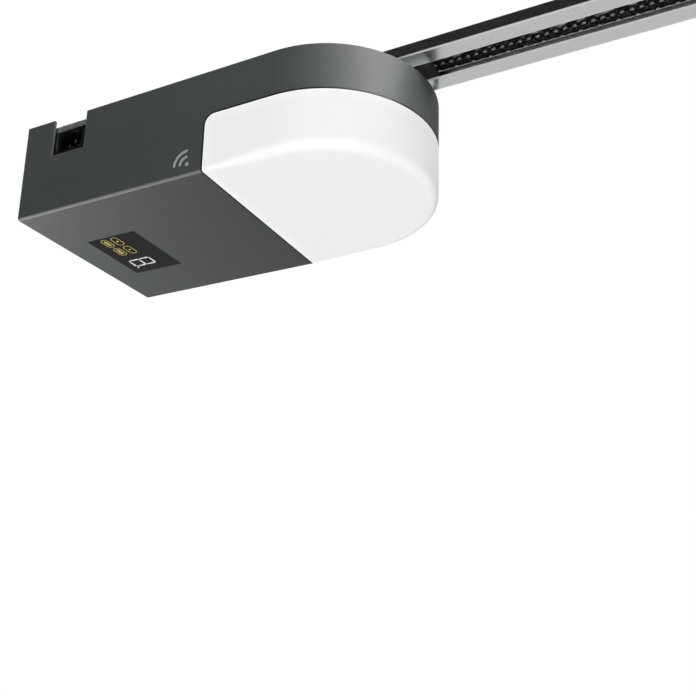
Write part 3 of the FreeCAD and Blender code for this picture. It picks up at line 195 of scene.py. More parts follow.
# %% A finish
class Finish(Tree):
    """A material: its shader, and the patterns that feed it."""

    all = {}

    def __init__(self, name, metallic=0.0, **steady):
        self.material = bpy.data.materials.new(name)
        self.material.use_nodes = True
        super().__init__(self.material.node_tree)
        self.shader = next(n for n in self.nodes.nodes if n.type == "BSDF_PRINCIPLED")
        self.shader.inputs["Metallic"].default_value = metallic
        for words, value in steady.items():
            socket = words.replace("_", " ").title().replace("Ior", "IOR")
            self.shader.inputs[socket].default_value = value
        self.place = self.make("ShaderNodeTexCoord", {}, {}, output="Object")
        Finish.all[name] = self

    def surface(self, colour, roughness, relief=None, depth=0.0):
        self.feed(self.shader.inputs["Base Color"], colour)
        self.feed(self.shader.inputs["Roughness"], roughness)
        if relief is not None:
            bumped = self.make("ShaderNodeBump", {}, {"Height": relief, "Distance": depth})
            self.feed(self.shader.inputs["Normal"], bumped)

    def glows(self, colour, strength):
        """Gives the surface a steady light of its own."""
        self.feed(self.shader.inputs["Emission Color"], colour)
        self.shader.inputs["Emission Strength"].default_value = strength

    def stretched(self, x, y, z):
        """The part's coordinates, squeezed so that a pattern is drawn out along one axis."""
        return self.make("ShaderNodeMapping", {"vector_type": "POINT"},
                         {0: self.place, 3: (x, y, z)})

    def mottle(self, size, detail=2.0, place=None, rough=0.5):
        """Soft noise from 0 to 1 with spots of about this size in metres."""
        return self.make("ShaderNodeTexNoise", {},
                         {"Vector": place or self.place, "Scale": 1 / size, "Detail": detail,
                          "Roughness": rough})

    def flakes(self, size, output="Color"):
        """Flat patches of about this size: each one's random colour, or the way to its middle."""
        return self.make("ShaderNodeTexVoronoi", {}, {"Vector": self.place, "Scale": 1 / size},
                         output=output)

    def axis(self, n, of=None):
        """One coordinate, 0, 1 or 2, of the place on the part or of another signal."""
        return self.make("ShaderNodeSeparateXYZ", {}, {0: of or self.place}, output=n)

    def from_middle(self):
        """Metres from the plane that halves the whole object lengthwise."""
        across = self.axis(1)
        return across.maths("ABSOLUTE", across)

    def tones(self, share, colour, spread):
        """A colour that goes from darker to lighter by this share."""
        dark = tuple(c * (1 - spread) for c in colour)
        light = tuple(min(1.0, c * (1 + spread)) for c in colour)
        return self.blend(share, dark, light)


# %% [markdown]
# ## Moulded plastic
# A moulding tool is etched or polished, and the plastic copies it. The cover of the head has a
# fine etched grain, which scatters the light; the keypad is polished like glass. A real moulding
# also has slow changes of tone from the way the melt flowed, and dust that sits in the grain.
# One helper makes them all from a few numbers: tone, gloss, and the size and depth of the grain.


# %% Plastics
def moulded(name, colour, roughness, grain, depth, spread=0.06, dust=0.0, **steady):
    """Makes a plastic, and returns it with the signal of its tone."""
    finish = Finish(name, **steady)
    fine = finish.mottle(grain, 3.0)
    flow = finish.mottle(0.045, 3.0, finish.stretched(0.35, 1, 1))
    tone = finish.tones(flow * 0.7 + fine * 0.3, colour, spread)
    if dust:
        settled = finish.between(finish.mottle(0.012, 6.0, rough=0.7), 0.5, 0.78, 0.0, dust)
        tone = finish.blend(settled, tone, (0.4, 0.39, 0.37))
    gloss = finish.between(flow * 0.6 + fine * 0.4, 0.3, 0.7, roughness * 0.88, roughness * 1.14)
    finish.surface(tone, gloss, fine if depth else None, depth)
    return finish, tone


moulded("black_plastic", (0.022, 0.023, 0.024), 0.5, 0.0008, 0.00006, 0.1, 0.03)
moulded("inlet_black", (0.003, 0.003, 0.003), 0.42, 0.0005, 0.00003, 0.08,
        specular_ior_level=0.2)
moulded("panel_black", (0.007, 0.0072, 0.0071), 0.16, 0.03, 0.0, 0.1, specular_ior_level=0.06)
moulded("key_black", (0.007, 0.0072, 0.0071), 0.22, 0.0009, 0.00001, 0.1,
        specular_ior_level=0.06)
moulded("display_black", (0.005, 0.005, 0.0055), 0.2, 0.002, 0.0, 0.1, specular_ior_level=0.06)
moulded("white_nylon", (0.80, 0.785, 0.73), 0.38, 0.001, 0.00004, 0.05)
moulded("shoe_nylon", (0.80, 0.79, 0.75), 0.4, 0.001, 0.00004, 0.05, 0.03)
moulded("black_nylon", (0.022, 0.022, 0.022), 0.46, 0.0007, 0.00005, 0.12, 0.03)
moulded("shuttle_plastic", (0.72, 0.37, 0.03), 0.36, 0.0008, 0.00004, 0.07, 0.02)
moulded("lever_red", (0.56, 0.022, 0.016), 0.3, 0.0008, 0.00003, 0.07, 0.01, coat_weight=0.1)
print(len(Finish.all), "plastics")

# %% [markdown]
# ## The cover, and its join with the lamp
# The cover has two more things. Where it meets the lamp its edge is rounded, and a thin dark
# line of painted shade is drawn into its colour there. The join is an upright line and a level
# line with a round corner between them, so how far a point is inside the lamp is worked out as
# for a rounded rectangle: from the corner's centre, as the length of the two shortfalls. And a
# pale strip of painted highlight runs along the long lower edges, in place of the light a lit
# edge catches; it is found by its height and by its distance from the middle. The walls lean,
# so those edges are a few millimetres inside the cover's widest place.

# %% The cover
lamp_low, lamp_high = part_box("lamp_lens")
CORNER = 9.8 * MM


def inside_lamp(finish):
    """Metres inside the lamp's outline as seen from the side; below nought on the cover."""
    short_x = (CORNER + lamp_low.x - finish.axis(0)).at_least(0.0)
    short_z = (finish.axis(2) - (lamp_high.z - CORNER)).at_least(0.0)
    return CORNER - (short_x * short_x + short_z * short_z) ** 0.5


cover, cover_tone = moulded("cover_plastic", (0.027, 0.0305, 0.029), 0.46, 0.0007, 0.00006,
                            0.05, 0.008, specular_ior_level=0.1)
# painted shade: a thin dark line in the cover's colour along its join with the lamp
join_painted_shade = cover.between(inside_lamp(cover), -2.2 * MM, -1.2 * MM)
cover_low, cover_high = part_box("housing_cover")
EDGE_INSIDE = 4.6 * MM
above_edge = cover.axis(2) - cover_low.z
beyond_edge = cover.from_middle() - (cover_high.y - EDGE_INSIDE)
# painted highlight: a pale strip in the cover's colour along its long lower edges
edge_painted_highlight = (cover.between(above_edge, 2.4 * MM, 1.2 * MM)
          * cover.between(beyond_edge, 0.2 * MM, 1.2 * MM))
tone_with_highlight = cover.blend(edge_painted_highlight, cover_tone, (0.095, 0.10, 0.10))
cover.feed(cover.shader.inputs["Base Color"], cover.blend(join_painted_shade, tone_with_highlight, (0.004, 0.0045, 0.004)))
print("the cover's join turns a corner of", round(CORNER / MM, 1), "mm")

# %% [markdown]
# ## Rubber
# The two end stops of the rail are rubber blocks. Rubber is darker and duller than plastic, and
# its skin bleeds a pale bloom in patches.

# %% Rubber
rubber = Finish("stop_rubber", specular_ior_level=0.3)
bloom = rubber.between(rubber.mottle(0.008, 5.0), 0.45, 0.75)
rubber.surface(rubber.blend(bloom, (0.013, 0.013, 0.013), (0.045, 0.045, 0.043)),
               0.72 + bloom * 0.15, rubber.mottle(0.0012, 4.0), 0.00015)

# %% [markdown]
# ## The lamp's opal lens
# Opal plastic lets light in, scatters it, and sends it back: it is white because of its depth,
# not its skin, which is smooth and mirrors the studio softly. Real glass nodes would show the
# circuit board behind; a little scattering below the surface is nearer the thing and renders far
# faster. The lamp is on, so the lens also glows a little. A narrow rim, and a wide soft halo
# inside that, follow the join with the dark cover and are painted paler: painted light for the
# lens lit brightest at its edge.

# %% The lens
lens = Finish("opal_lens", subsurface_weight=0.25, subsurface_radius=(0.012, 0.012, 0.011),
              subsurface_scale=0.5, specular_ior_level=0.35)
cloud = lens.mottle(0.06, 2.0)
ripple = lens.mottle(0.02, 2.0)
depth_in = inside_lamp(lens)
# painted light: a narrow rim and a wide halo along the join, drawn paler in the lens's colour
rim_painted_light = lens.between(depth_in, 0.9 * MM, 2.2 * MM, 1.0, 0.0)
halo_painted_light = lens.between(depth_in, 2 * MM, 16 * MM, 0.35, 0.0)
body = lens.tones(cloud, (0.66, 0.66, 0.652), 0.01)
lens.surface(lens.blend((rim_painted_light + halo_painted_light).at_most(1.0), body, (0.85, 0.85, 0.85)),
             0.26 + ripple * 0.08, ripple, 0.00006)
lens.glows((1, 1, 0.985), 0.25)
print("the lens is", [round(v / MM, 1) for v in (lamp_high - lamp_low)], "mm")

# %% [markdown]
# ## Zinc on sheet and rail
# Steel dipped in zinc grows flat crystals, called spangle, each tilted its own way, so each
# mirrors a little more or less light. Cells of random tone copy that well: the same random
# number sets the tone and the roughness of a flake. Rolling then draws fine scratches along the
# part, made by noise squeezed thin across the rolling direction. The rail is rolled along its
# length; the small brackets are punched from sheet and show spangle without a clear direction.
# White bloom, which is dull and not metal, grows where damp stays: in patches outside, and all
# over the inner faces of the rail. There, dashes of painted shade a link long stand for the shade
# the chain casts, and the cut and bent edges of the rail get a pale painted highlight. All three
# places are found by measuring from the rail's box.


# %% Where the rail is clean or bloomed, and its painted shade and painted highlights
rail_low, rail_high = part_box("rail_section_1")
# thickness, and the half widths of the slot and of the channel inside its walls
SHEET, SLOT, CHANNEL = 1.5 * MM, 12 * MM, 18 * MM


def within_rail(finish):
    """1 on the inner faces of the rail, which are closer to its middle than the sheet's skin."""
    height = finish.axis(2)
    lips = finish.between(height, rail_low.z + 0.8 * SHEET, rail_low.z + 0.95 * SHEET)
    crown = finish.between(height, rail_high.z - 0.5 * SHEET, rail_high.z - 0.3 * SHEET, 1.0, 0.0)
    walls = finish.between(finish.from_middle(), CHANNEL + 0.2 * MM, CHANNEL + 0.5 * MM, 1.0, 0.0)
    return lips * crown * walls


def painted_chain_shade(finish):
    """1 where painted shade of the chain darkens the rail's inner faces, in dashes a link long."""
    across = finish.from_middle()
    up = finish.axis(2) - rail_low.z
    # painted shade of the chain: a band on each wall at the chain's height, one on the crown above
    # each run
    wall = finish.band(up, 3.2 * MM, 4.2 * MM, 7 * MM, 9 * MM) * (across > 16 * MM)
    crown = finish.band(across, 7 * MM, 9 * MM, 13 * MM, 15 * MM) * (up > 16 * MM)
    smear = finish.mottle(0.004, 3.0, finish.stretched(0.45, 1, 1))
    return (wall + crown) * finish.between(smear, 0.36, 0.5) * within_rail(finish)


def painted_edge_highlights(finish):
    """1 along the rail's two bends and on the cut edges of its slot: a pale painted highlight."""
    across = finish.from_middle()
    bend = finish.between(across, rail_high.y - 0.8 * MM, rail_high.y - 0.4 * MM)
    cut = finish.between(across, SLOT + 0.1 * MM, SLOT + 0.3 * MM, 1.0, 0.0)
    low = finish.between(finish.axis(2), rail_low.z + 1.3 * MM, rail_low.z + 1.7 * MM, 1.0, 0.0)
    return (bend + cut) * low


# %% Galvanised steel
def galvanised(name, colour, roughness, spangle, contrast, bloomed, rail=False):
    """Zinc with flakes of this size. The rail also has scratches, painted edge highlights and
    painted shade.
    """
    finish = Finish(name, metallic=1.0)
    flake = finish.axis(0, finish.flakes(spangle))
    line = (finish.mottle(0.0004, 3.0, finish.stretched(0.004, 1, 1)) if rail
            else finish.mottle(0.02, 2.0))
    tone = finish.tones(flake * 0.55 + line * 0.45, colour, contrast)
    bloom = finish.between(finish.mottle(0.035, 6.0, rough=0.65), 0.55, 0.8) * bloomed
    if rail:
        # bloom here also holds the painted highlight of the bends and slot edges
        bloom = bloom.at_least(within_rail(finish) * 0.85).at_least(painted_edge_highlights(finish))
    dull = finish.blend(bloom, tone, (0.80, 0.81, 0.80))
    if rail:
        # painted shade: the rail's inner faces drawn near black where the chain shades them
        dull = finish.blend(painted_chain_shade(finish), dull, (0.012, 0.012, 0.012))
    finish.feed(finish.shader.inputs["Metallic"], 1 - bloom * 0.9)
    finish.surface(dull, roughness + flake * 0.06 + line * 0.05 + bloom * 0.3, line, 0.00002)


galvanised("rail_steel", (0.70, 0.722, 0.722), 0.16, 0.003, 0.05, 0.012, rail=True)
galvanised("galvanised_sheet", (0.66, 0.68, 0.69), 0.32, 0.006, 0.12, 0.5)
print(len(Finish.all), "finishes so far")

# %% [markdown]
# ## Turned, drawn and plated metal
# A shaft keeps the rings that the lathe left round it, a screw is barrel-plated and dimpled all
# over, and a drawn can has lines along its length. All are bright metal with a fine relief, so
# one helper takes the tone, the gloss and the way the lines run.


# %% Bright metals
def metal(name, colour, roughness, stretch, size=0.0006, depth=0.00003, stain=0.12):
    finish = Finish(name, metallic=1.0)
    line = finish.mottle(size, 3.0, finish.stretched(*stretch))
    cloud = finish.mottle(0.011, 5.0, rough=0.6)
    stained = finish.between(cloud, 0.5, 0.8, 0.0, stain)
    tone = finish.blend(stained, finish.tones(line, colour, 0.1), tuple(c * 0.45 for c in colour))
    finish.surface(tone, roughness + line * 0.12 + stained * 0.6, line, depth)


metal("zinc_screws", (0.68, 0.69, 0.70), 0.24, (1, 1, 1), 0.0012, 0.00005)
metal("contact_metal", (0.78, 0.75, 0.68), 0.2, (1, 0.05, 1))
metal("motor_steel", (0.56, 0.57, 0.58), 0.28, (0.03, 1, 1))
metal("hard_steel", (0.52, 0.52, 0.53), 0.22, (1, 1, 0.6), 0.0005)
metal("spring_steel", (0.33, 0.33, 0.34), 0.26, (1, 1, 1), 0.0005, 0.00002, 0.3)
metal("bronze", (0.52, 0.36, 0.19), 0.4, (1, 1, 1), 0.0003, 0.00006, 0.3)

# %% [markdown]
# ## The chain's oiled steel
# The plates of a roller chain are blued, nearly black, under a film of grease that keeps small
# glints. Its rollers run on the teeth and are polished bright by them, so they have a finish of
# their own.

# %% Chain steel
chain_steel = Finish("chain_steel", metallic=0.6, specular_ior_level=0.4, coat_roughness=0.2)
smear = chain_steel.mottle(0.006, 4.0)
chain_steel.surface(chain_steel.tones(smear, (0.016, 0.016, 0.018), 0.25), 0.26 + smear * 0.14,
                    chain_steel.mottle(0.0008), 0.00002)
chain_steel.feed(chain_steel.shader.inputs["Coat Weight"], smear * 0.25)
roller_steel = Finish("roller_steel", metallic=1.0)
film = roller_steel.mottle(0.003, 3.0)
roller_steel.surface(roller_steel.tones(film, (0.60, 0.60, 0.59), 0.15), 0.3 + film * 0.12)

# %% [markdown]
# ## Castings, magnets and iron
# The gearbox and the rail's end piece are cast, then tumbled with stones, which leaves a satin,
# slightly orange-peel skin. The magnets are a baked ceramic, nearly black. The transformer's iron
# is a pack of half-millimetre sheets, which show as lines on its edges.


# %% Castings, magnets and laminated iron
def cast(name, colour, roughness, metallic, peel, depth):
    finish = Finish(name, metallic=metallic)
    skin = finish.mottle(peel, 4.0, rough=0.6)
    pits = finish.between(finish.mottle(0.002, 2.0), 0.66, 0.78)
    tone = finish.tones(finish.mottle(0.03, 4.0) * 0.6 + skin * 0.4, colour, 0.14)
    dark = finish.blend(pits * 0.5, tone, tuple(c * 0.4 for c in colour))
    finish.surface(dark, roughness + skin * 0.12, skin - pits * 0.5, depth)


cast("die_cast", (0.56, 0.57, 0.58), 0.36, 1.0, 0.0016, 0.0001)
cast("magnet_grey", (0.085, 0.085, 0.09), 0.6, 0.0, 0.0008, 0.00006)
iron = Finish("iron_core", metallic=0.7)
sheet_edges = iron.make("ShaderNodeTexWave", {"wave_type": "BANDS", "bands_direction": "Y"},
                        {"Vector": iron.place, "Scale": 314.0, "Distortion": 0.4})
varnish = iron.mottle(0.008, 4.0)
iron.surface(iron.blend(sheet_edges * 0.5 + varnish * 0.3, (0.06, 0.055, 0.055),
                        (0.24, 0.23, 0.23)), 0.34 + varnish * 0.25, sheet_edges, 0.00012)

# %% [markdown]
# ## Copper wire
# The transformer's winding is hundreds of turns of lacquered wire. At this size it is a pattern
# of close round ridges, so bands of colour and the same bands as relief are enough.

# %% The winding
copper = Finish("copper_winding", metallic=0.9, coat_weight=0.4)
turns = copper.make("ShaderNodeTexWave", {"wave_type": "BANDS", "bands_direction": "Z"},
                    {"Vector": copper.place, "Scale": 450.0, "Distortion": 0.6,
                     "Detail": 1.0, "Detail Scale": 20.0})
lacquer = copper.mottle(0.01, 3.0)
copper.surface(copper.blend(turns * 0.7 + lacquer * 0.3, (0.22, 0.075, 0.03),
                            (0.80, 0.40, 0.19)), 0.24 + lacquer * 0.15, turns, 0.0002)

# %% [markdown]
# ## Two circuit boards
# A green board is lacquer over copper tracks, dotted with parts; the lamp's board is white so
# that it throws the light of its diodes out. Both are hidden inside, and are seen only where the
# object is opened. Square cells stand for parts, and thin bands for tracks.

# %% The boards
board = Finish("board_green")
chip = board.axis(0, board.flakes(0.0065)) > 0.72
tracks = board.make("ShaderNodeTexWave", {"wave_type": "BANDS", "bands_direction": "DIAGONAL"},
                    {"Vector": board.place, "Scale": 190.0, "Distortion": 6.0, "Detail": 2.0})
green = board.blend(tracks, (0.008, 0.075, 0.03), (0.02, 0.17, 0.07))
board.surface(board.blend(chip, green, (0.02, 0.02, 0.022)), 0.3 + chip * 0.25,
              chip + tracks * 0.1, 0.0004)
white_board = Finish("white_board")
DIODE_EVERY, DIODE_RADIUS = 0.013, 0.0022
diode = white_board.flakes(DIODE_EVERY, output="Distance") < DIODE_RADIUS / DIODE_EVERY
white_board.surface(white_board.blend(diode, (0.86, 0.86, 0.84), (0.85, 0.62, 0.08)),
                    0.3 + white_board.mottle(0.002) * 0.1, diode, 0.0003)
print(len(Finish.all), "finishes for the parts")

# %% [markdown]
# ## Painting the parts
# Each part of the workshop model names the slot that its material comes from, and each finish
# above has the name of a slot, so one loop does them all.

# %% Every part gets its finish
for part in parts.values():
    slot_name = part.data.materials[0].name.split(".")[0]
    part.data.materials[0] = Finish.all[slot_name].material
print("painted", len(parts), "parts with", len(Finish.all), "finishes")

# %% [markdown]
# ## Helpers for new pieces
# New pieces are made with mesh operators. Each starts as a circle, a grid or an edge, and is
# pulled, inset or spun into shape. A small helper takes the finished mesh and writes it to an
# object whose place is in its mesh.


# %% From a mesh to a piece
def piece(name, shape, slot, body, merge=1e-7, turn_out=True):
    """Writes a bmesh to a new object that rides on a body."""
    if merge:
        bmesh.ops.remove_doubles(shape, verts=shape.verts, dist=merge)
    if turn_out:
        bmesh.ops.recalc_face_normals(shape, faces=shape.faces)
    made = bpy.data.meshes.new(name)
    shape.to_mesh(made)
    shape.free()
    thing = bpy.data.objects.new(name, made)
    bpy.context.scene.collection.objects.link(thing)
    made.materials.append(Finish.all[slot].material)
    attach(thing, body)
    print(name, len(made.polygons), "faces")
    return thing


def middle_of(node):
    """The middle of a part's box at rest."""
    low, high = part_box(node)
    return (low + high) / 2


def wall_behind(node, x, z):
    """Where the front wall of a part is at this length and height, looking along Y."""
    skin = bmesh.new()
    skin.from_mesh(parts[node].data)
    hit = BVHTree.FromBMesh(skin).ray_cast(Vector((x, -1, z)), Vector((0, 1, 0)))[0]
    skin.free()
    return hit.y


# %% [markdown]
# ## A roller chain
# The workshop model has the chain as one smooth band. The real one has pins eight millimetres
# apart, joined in turn by a narrow pair of plates and a wide pair, with a roller on each pin.
# A chain could be an array bent along a curve, but bending would stretch the plates round the
# wheels. Here each link is placed rigidly between two pins, as in life. As there are hundreds,
# a link has only a few dozen faces: plates are pinched twelve-sided ovals, rollers eight-sided.


# %% One link
PITCH, PLATE, WAIST = 8 * MM, 0.85 * MM, 0.62


def plate(link, half_width, bottom):
    """A plate with round ends and a waist, lying along X between two pins."""
    ring = bmesh.ops.create_circle(link, cap_ends=True, segments=12, radius=half_width)["verts"]
    for vert in ring:
        if abs(vert.co.x) > half_width * 0.2:
            vert.co.x += math.copysign(PITCH / 2, vert.co.x)
        else:
            vert.co.y *= WAIST
    raised = bmesh.ops.extrude_face_region(link, geom=[ring[0].link_faces[0]],
                                           use_keep_orig=True)["geom"]
    top = [v for v in raised if isinstance(v, bmesh.types.BMVert)]
    bmesh.ops.translate(link, verts=top, vec=(0, 0, PLATE))
    bmesh.ops.translate(link, verts=[*ring, *top], vec=(0, 0, bottom))


def post(link, x, radius, reach, slot):
    """A round pin or roller, as high as it is deep; the slot is its finish in the chain."""
    made = bmesh.ops.create_cone(link, cap_ends=True, segments=8, radius1=radius, radius2=radius,
                                 depth=2 * reach, matrix=Matrix.Translation((x, 0, 0)))
    for face in {f for v in made["verts"] for f in v.link_faces}:
        face.material_index = slot


def one_link(name, half_width, bottoms, radius, reach, slot):
    """Two plates, and a post on each of the two pins' places."""
    link = bmesh.new()
    for bottom in bottoms:
        plate(link, half_width, bottom)
    for x in (-PITCH / 2, PITCH / 2):
        post(link, x, radius, reach, slot)
    bmesh.ops.recalc_face_normals(link, faces=link.faces)
    made = bpy.data.meshes.new(name)
    link.to_mesh(made)
    link.free()
    return made


links = [one_link("wide_link", 3.4 * MM, (2.35 * MM, -3.2 * MM), 1.15 * MM, 4.2 * MM, 0),
         one_link("narrow_link", 3.5 * MM, (1.45 * MM, -2.3 * MM), 2.5 * MM, 1.45 * MM, 1)]
print("faces of the two links:", [len(m.polygons) for m in links])

# %% [markdown]
# The pins sit on a closed path: a straight run, half a turn round the far wheel, the other run
# and half a turn round the driving wheel. A point on it is found from the distance gone, so the
# links only need equal steps, and an even number of them makes narrow and wide take turns.

# %% The closed chain
WHEEL = 12.944 * MM  # the circle of the pins on a wheel of ten teeth
CHAIN_Z = middle_of("drive_chain").z
near_wheel, far_wheel = middle_of("drive_sprocket").x, middle_of("idler_wheel").x
run, half_turn = far_wheel - near_wheel, math.pi * WHEEL
whole = 2 * (run + half_turn)
count = 2 * round(whole / PITCH / 2)


def pin_at(distance):
    """The place of a pin this far along the path from the driving wheel."""
    distance %= whole
    if distance < run:
        return Vector((near_wheel + distance, -WHEEL, CHAIN_Z))
    if distance < run + half_turn:
        angle = (distance - run) / WHEEL - math.pi / 2
        return Vector((far_wheel + WHEEL * math.cos(angle), WHEEL * math.sin(angle), CHAIN_Z))
    if distance < 2 * run + half_turn:
        return Vector((far_wheel - (distance - run - half_turn), WHEEL, CHAIN_Z))
    angle = (distance - 2 * run - half_turn) / WHEEL + math.pi / 2
    return Vector((near_wheel + WHEEL * math.cos(angle), WHEEL * math.sin(angle), CHAIN_Z))


chain = bmesh.new()
for n in range(count):
    first, second = pin_at(n * whole / count), pin_at((n + 1) * whole / count)
    along = (second - first).normalized()
    laid = links[n % 2].copy()
    laid.transform(Matrix.Translation((first + second) / 2)
                   @ Matrix.Rotation(math.atan2(along.y, along.x), 4, "Z"))
    chain.from_mesh(laid)
    bpy.data.meshes.remove(laid)
chain = piece("chain_links", chain, "chain_steel", "root", merge=0, turn_out=False)
chain.data.materials.append(roller_steel.material)
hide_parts("drive_chain")
print(count, "links, a pin every", round(whole / count / MM, 4), "mm")

# %% [markdown]
# ## The spring on the release pin
# The workshop model keeps room for the spring with a plain tube. The spring itself is a round
# wire wound in a helix. Spinning a circle about the pin while it climbs makes exactly that, and
# the wire's ends are closed by the faces of the first and last circle. When the lever is pulled,
# the pin's collar comes down on it.

# %% The coil spring
seat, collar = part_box("release_spring")
WIRE = 0.55 * MM
middle = middle_of("release_spring") * Vector((1, 1, 0))
wind = (collar.x - seat.x) / 2 - WIRE
TURNS, STEPS = 7, 20
rise = collar.z - seat.z - 2 * WIRE
coil = bmesh.new()
start = bmesh.ops.create_circle(coil, cap_ends=False, segments=8, radius=WIRE)["verts"]
bmesh.ops.rotate(coil, verts=start, cent=(0, 0, 0), matrix=Matrix.Rotation(math.pi / 2, 3, "X"))
bmesh.ops.translate(coil, verts=start, vec=middle + Vector((wind, 0, seat.z + WIRE)))
bmesh.ops.spin(coil, geom=[*start, *coil.edges], cent=middle, axis=(0, 0, 1),
               dvec=(0, 0, rise / (TURNS * STEPS)), angle=TURNS * math.tau,
               steps=TURNS * STEPS, use_merge=False)
bmesh.ops.holes_fill(coil, edges=[e for e in coil.edges if e.is_boundary], sides=0)
coil = piece("release_coil", coil, "spring_steel", "trolley")
coil.data.shade_smooth()
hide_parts("release_spring")
travel = next(j for j in frame["joints"] if j["name"] == "latch_drop")["range_m"][1]
1 - travel / (collar.z - seat.z)
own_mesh(coil)

# %% [markdown]
# ## Printed signs
# Signs are ink or foil a tenth of a millimetre thick, printed on the plastic. They could be
# masks in a material, but a mask is only as sharp as its picture when the object is exported, so
# they are thin pieces. Gold rings mark the four keys and ride on them, with an arrow on the two
# that open and close the door and three lines on the two that set it up. The figure on the
# display is built from seven bars, and two arcs over a dot say that the drive listens by radio.


# %% The inks
def ink(name, colour, roughness=0.35, metallic=0.0):
    finish = Finish(name, metallic=metallic)
    grain = finish.mottle(0.0004, 2.0)
    finish.surface(finish.tones(grain, colour, 0.08), roughness + grain * 0.1)
    return finish


ink("gold_print", (0.80, 0.66, 0.13), 0.3)
ink("grey_print", (0.50, 0.53, 0.55))
ink("lit_figure", (0.80, 0.82, 0.80), 0.3).glows((0.9, 0.92, 0.9), 0.12)
FOIL, GAP = 0.12 * MM, 0.02 * MM
print("a foil is", FOIL / MM, "mm thick")


def thicken(shape, thickness, direction):
    """Pulls flat faces out into a thin foil."""
    raised = bmesh.ops.extrude_face_region(shape, geom=shape.faces[:], use_keep_orig=True)
    moved = [v for v in raised["geom"] if isinstance(v, bmesh.types.BMVert)]
    bmesh.ops.translate(shape, verts=moved, vec=Vector(direction) * thickness)


# %% A gold ring and a sign for each key
EDGE, LINE = 1.1 * MM, 0.6 * MM
keypad = sum((middle_of(f"panel_key_{n}") for n in range(1, 5)), Vector()) / 4


def stadium(shape, half_x, half_y):
    """A flat oval with straight sides and round ends, lying along Y."""
    edge = bmesh.ops.create_circle(shape, cap_ends=True, segments=40, radius=half_x)["verts"]
    for vert in edge:
        vert.co.y += math.copysign(half_y - half_x, vert.co.y)
    return edge


for number in range(1, 5):
    low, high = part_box(f"panel_key_{number}")
    centre, half = (low + high) / 2, (high - low) / 2
    print("key", number, "is", [round(v / MM, 1) for v in (high - low)], "mm")
    ring = bmesh.new()
    stadium(ring, half.x - EDGE / 2, half.y - EDGE)
    bmesh.ops.inset_region(ring, faces=ring.faces[:], thickness=LINE, use_boundary=True,
                           use_even_offset=True)
    bmesh.ops.delete(ring, geom=[max(ring.faces, key=lambda f: f.calc_area())],
                     context="FACES_ONLY")
    if centre.x < keypad.x:
        for row in (-1, 0, 1):
            line = bmesh.ops.create_grid(ring, x_segments=1, y_segments=1, size=0.5)["verts"]
            bmesh.ops.scale(ring, verts=line, vec=(0.75 * MM, half.y * (1.2 - 0.25 * abs(row)), 1))
            bmesh.ops.translate(ring, verts=line, vec=(row * 1.35 * MM, 0, 0))
    else:
        arrow = bmesh.ops.create_circle(ring, cap_ends=True, segments=3, radius=1.7 * MM)["verts"]
        bmesh.ops.rotate(ring, verts=arrow, cent=(0, 0, 0), matrix=Matrix.Rotation(
            math.copysign(math.pi / 2, centre.y - keypad.y), 3, "Z"))
    thicken(ring, FOIL, (0, 0, -1))
    bmesh.ops.translate(ring, verts=ring.verts[:], vec=(centre.x, centre.y, low.z + GAP))
    piece(f"key_ring_{number}", ring, "gold_print", f"key_{number}")

# %% [markdown]
# Each bar of the figure is a six-sided circle pulled long, which gives it the pointed ends of a
# real one. Its seven bars are a short one at the top, middle and bottom, and two on each side.

# %% The figure and its point
centre, panel_low = middle_of("display_module"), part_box("control_panel")[0].z
TALL, WIDE, BAR, SPARE = 24 * MM, 12.5 * MM, 2.3 * MM, 1.0 * MM
digit = bmesh.new()


def bar(along, across, length, lengthwise):
    """A pointed bar of the figure, lying along the head or across it."""
    made = bmesh.ops.create_circle(digit, cap_ends=True, segments=6, radius=BAR / 2)["verts"]
    for vert in made:
        vert.co.x += math.copysign(length / 2 - BAR / 2, vert.co.x)
    if not lengthwise:
        bmesh.ops.rotate(digit, verts=made, cent=(0, 0, 0),
                         matrix=Matrix.Rotation(math.pi / 2, 3, "Z"))
    bmesh.ops.translate(digit, verts=made, vec=(along, across, 0))


for along in (-TALL / 2, 0, TALL / 2):
    bar(along, 0, WIDE - SPARE, False)
for along in (-TALL / 4, TALL / 4):
    for across in (-WIDE / 2, WIDE / 2):
        bar(along, across, TALL / 2 - SPARE, True)
dot = bmesh.ops.create_circle(digit, cap_ends=True, segments=16, radius=1.1 * MM)["verts"]
bmesh.ops.translate(digit, verts=dot, vec=(-TALL / 2, WIDE / 2 + 3 * MM, 0))
thicken(digit, FOIL, (0, 0, -1))
bmesh.ops.translate(digit, verts=digit.verts[:], vec=(centre.x, centre.y, panel_low + GAP))
piece("display_figure", digit, "lit_figure", "root")

# %% [markdown]
# The radio sign is on the side of the head. An arc is a short edge spun through a quarter turn.
# The wall leans a little, as a moulding must to leave its tool, so its place is measured at two
# heights and the sign is laid against it.

# %% The radio sign
sign_x, sign_z, CLIMB = -28 * MM, -139.4 * MM, 20 * MM
side = wall_behind("housing_cover", sign_x, sign_z)
lean = math.atan((side - wall_behind("housing_cover", sign_x, sign_z + CLIMB)) / CLIMB)
print("the wall leans by", round(math.degrees(lean), 2), "degrees")
waves = bmesh.new()
ARC = 2.6 * MM
for inner in (6.0 * MM, 12.0 * MM):
    ends = [waves.verts.new((-inner, 0, 0)), waves.verts.new((-inner - ARC, 0, 0))]
    edge = waves.edges.new(ends)
    bmesh.ops.spin(waves, geom=[*ends, edge], cent=(0, 0, 0), axis=(0, 1, 0),
                   angle=math.pi / 2, steps=18, use_merge=False)
spot = bmesh.ops.create_circle(waves, cap_ends=True, segments=20, radius=1.9 * MM)["verts"]
bmesh.ops.rotate(waves, verts=spot, cent=(0, 0, 0), matrix=Matrix.Rotation(math.pi / 2, 3, "X"))
thicken(waves, FOIL, (0, -1, 0))
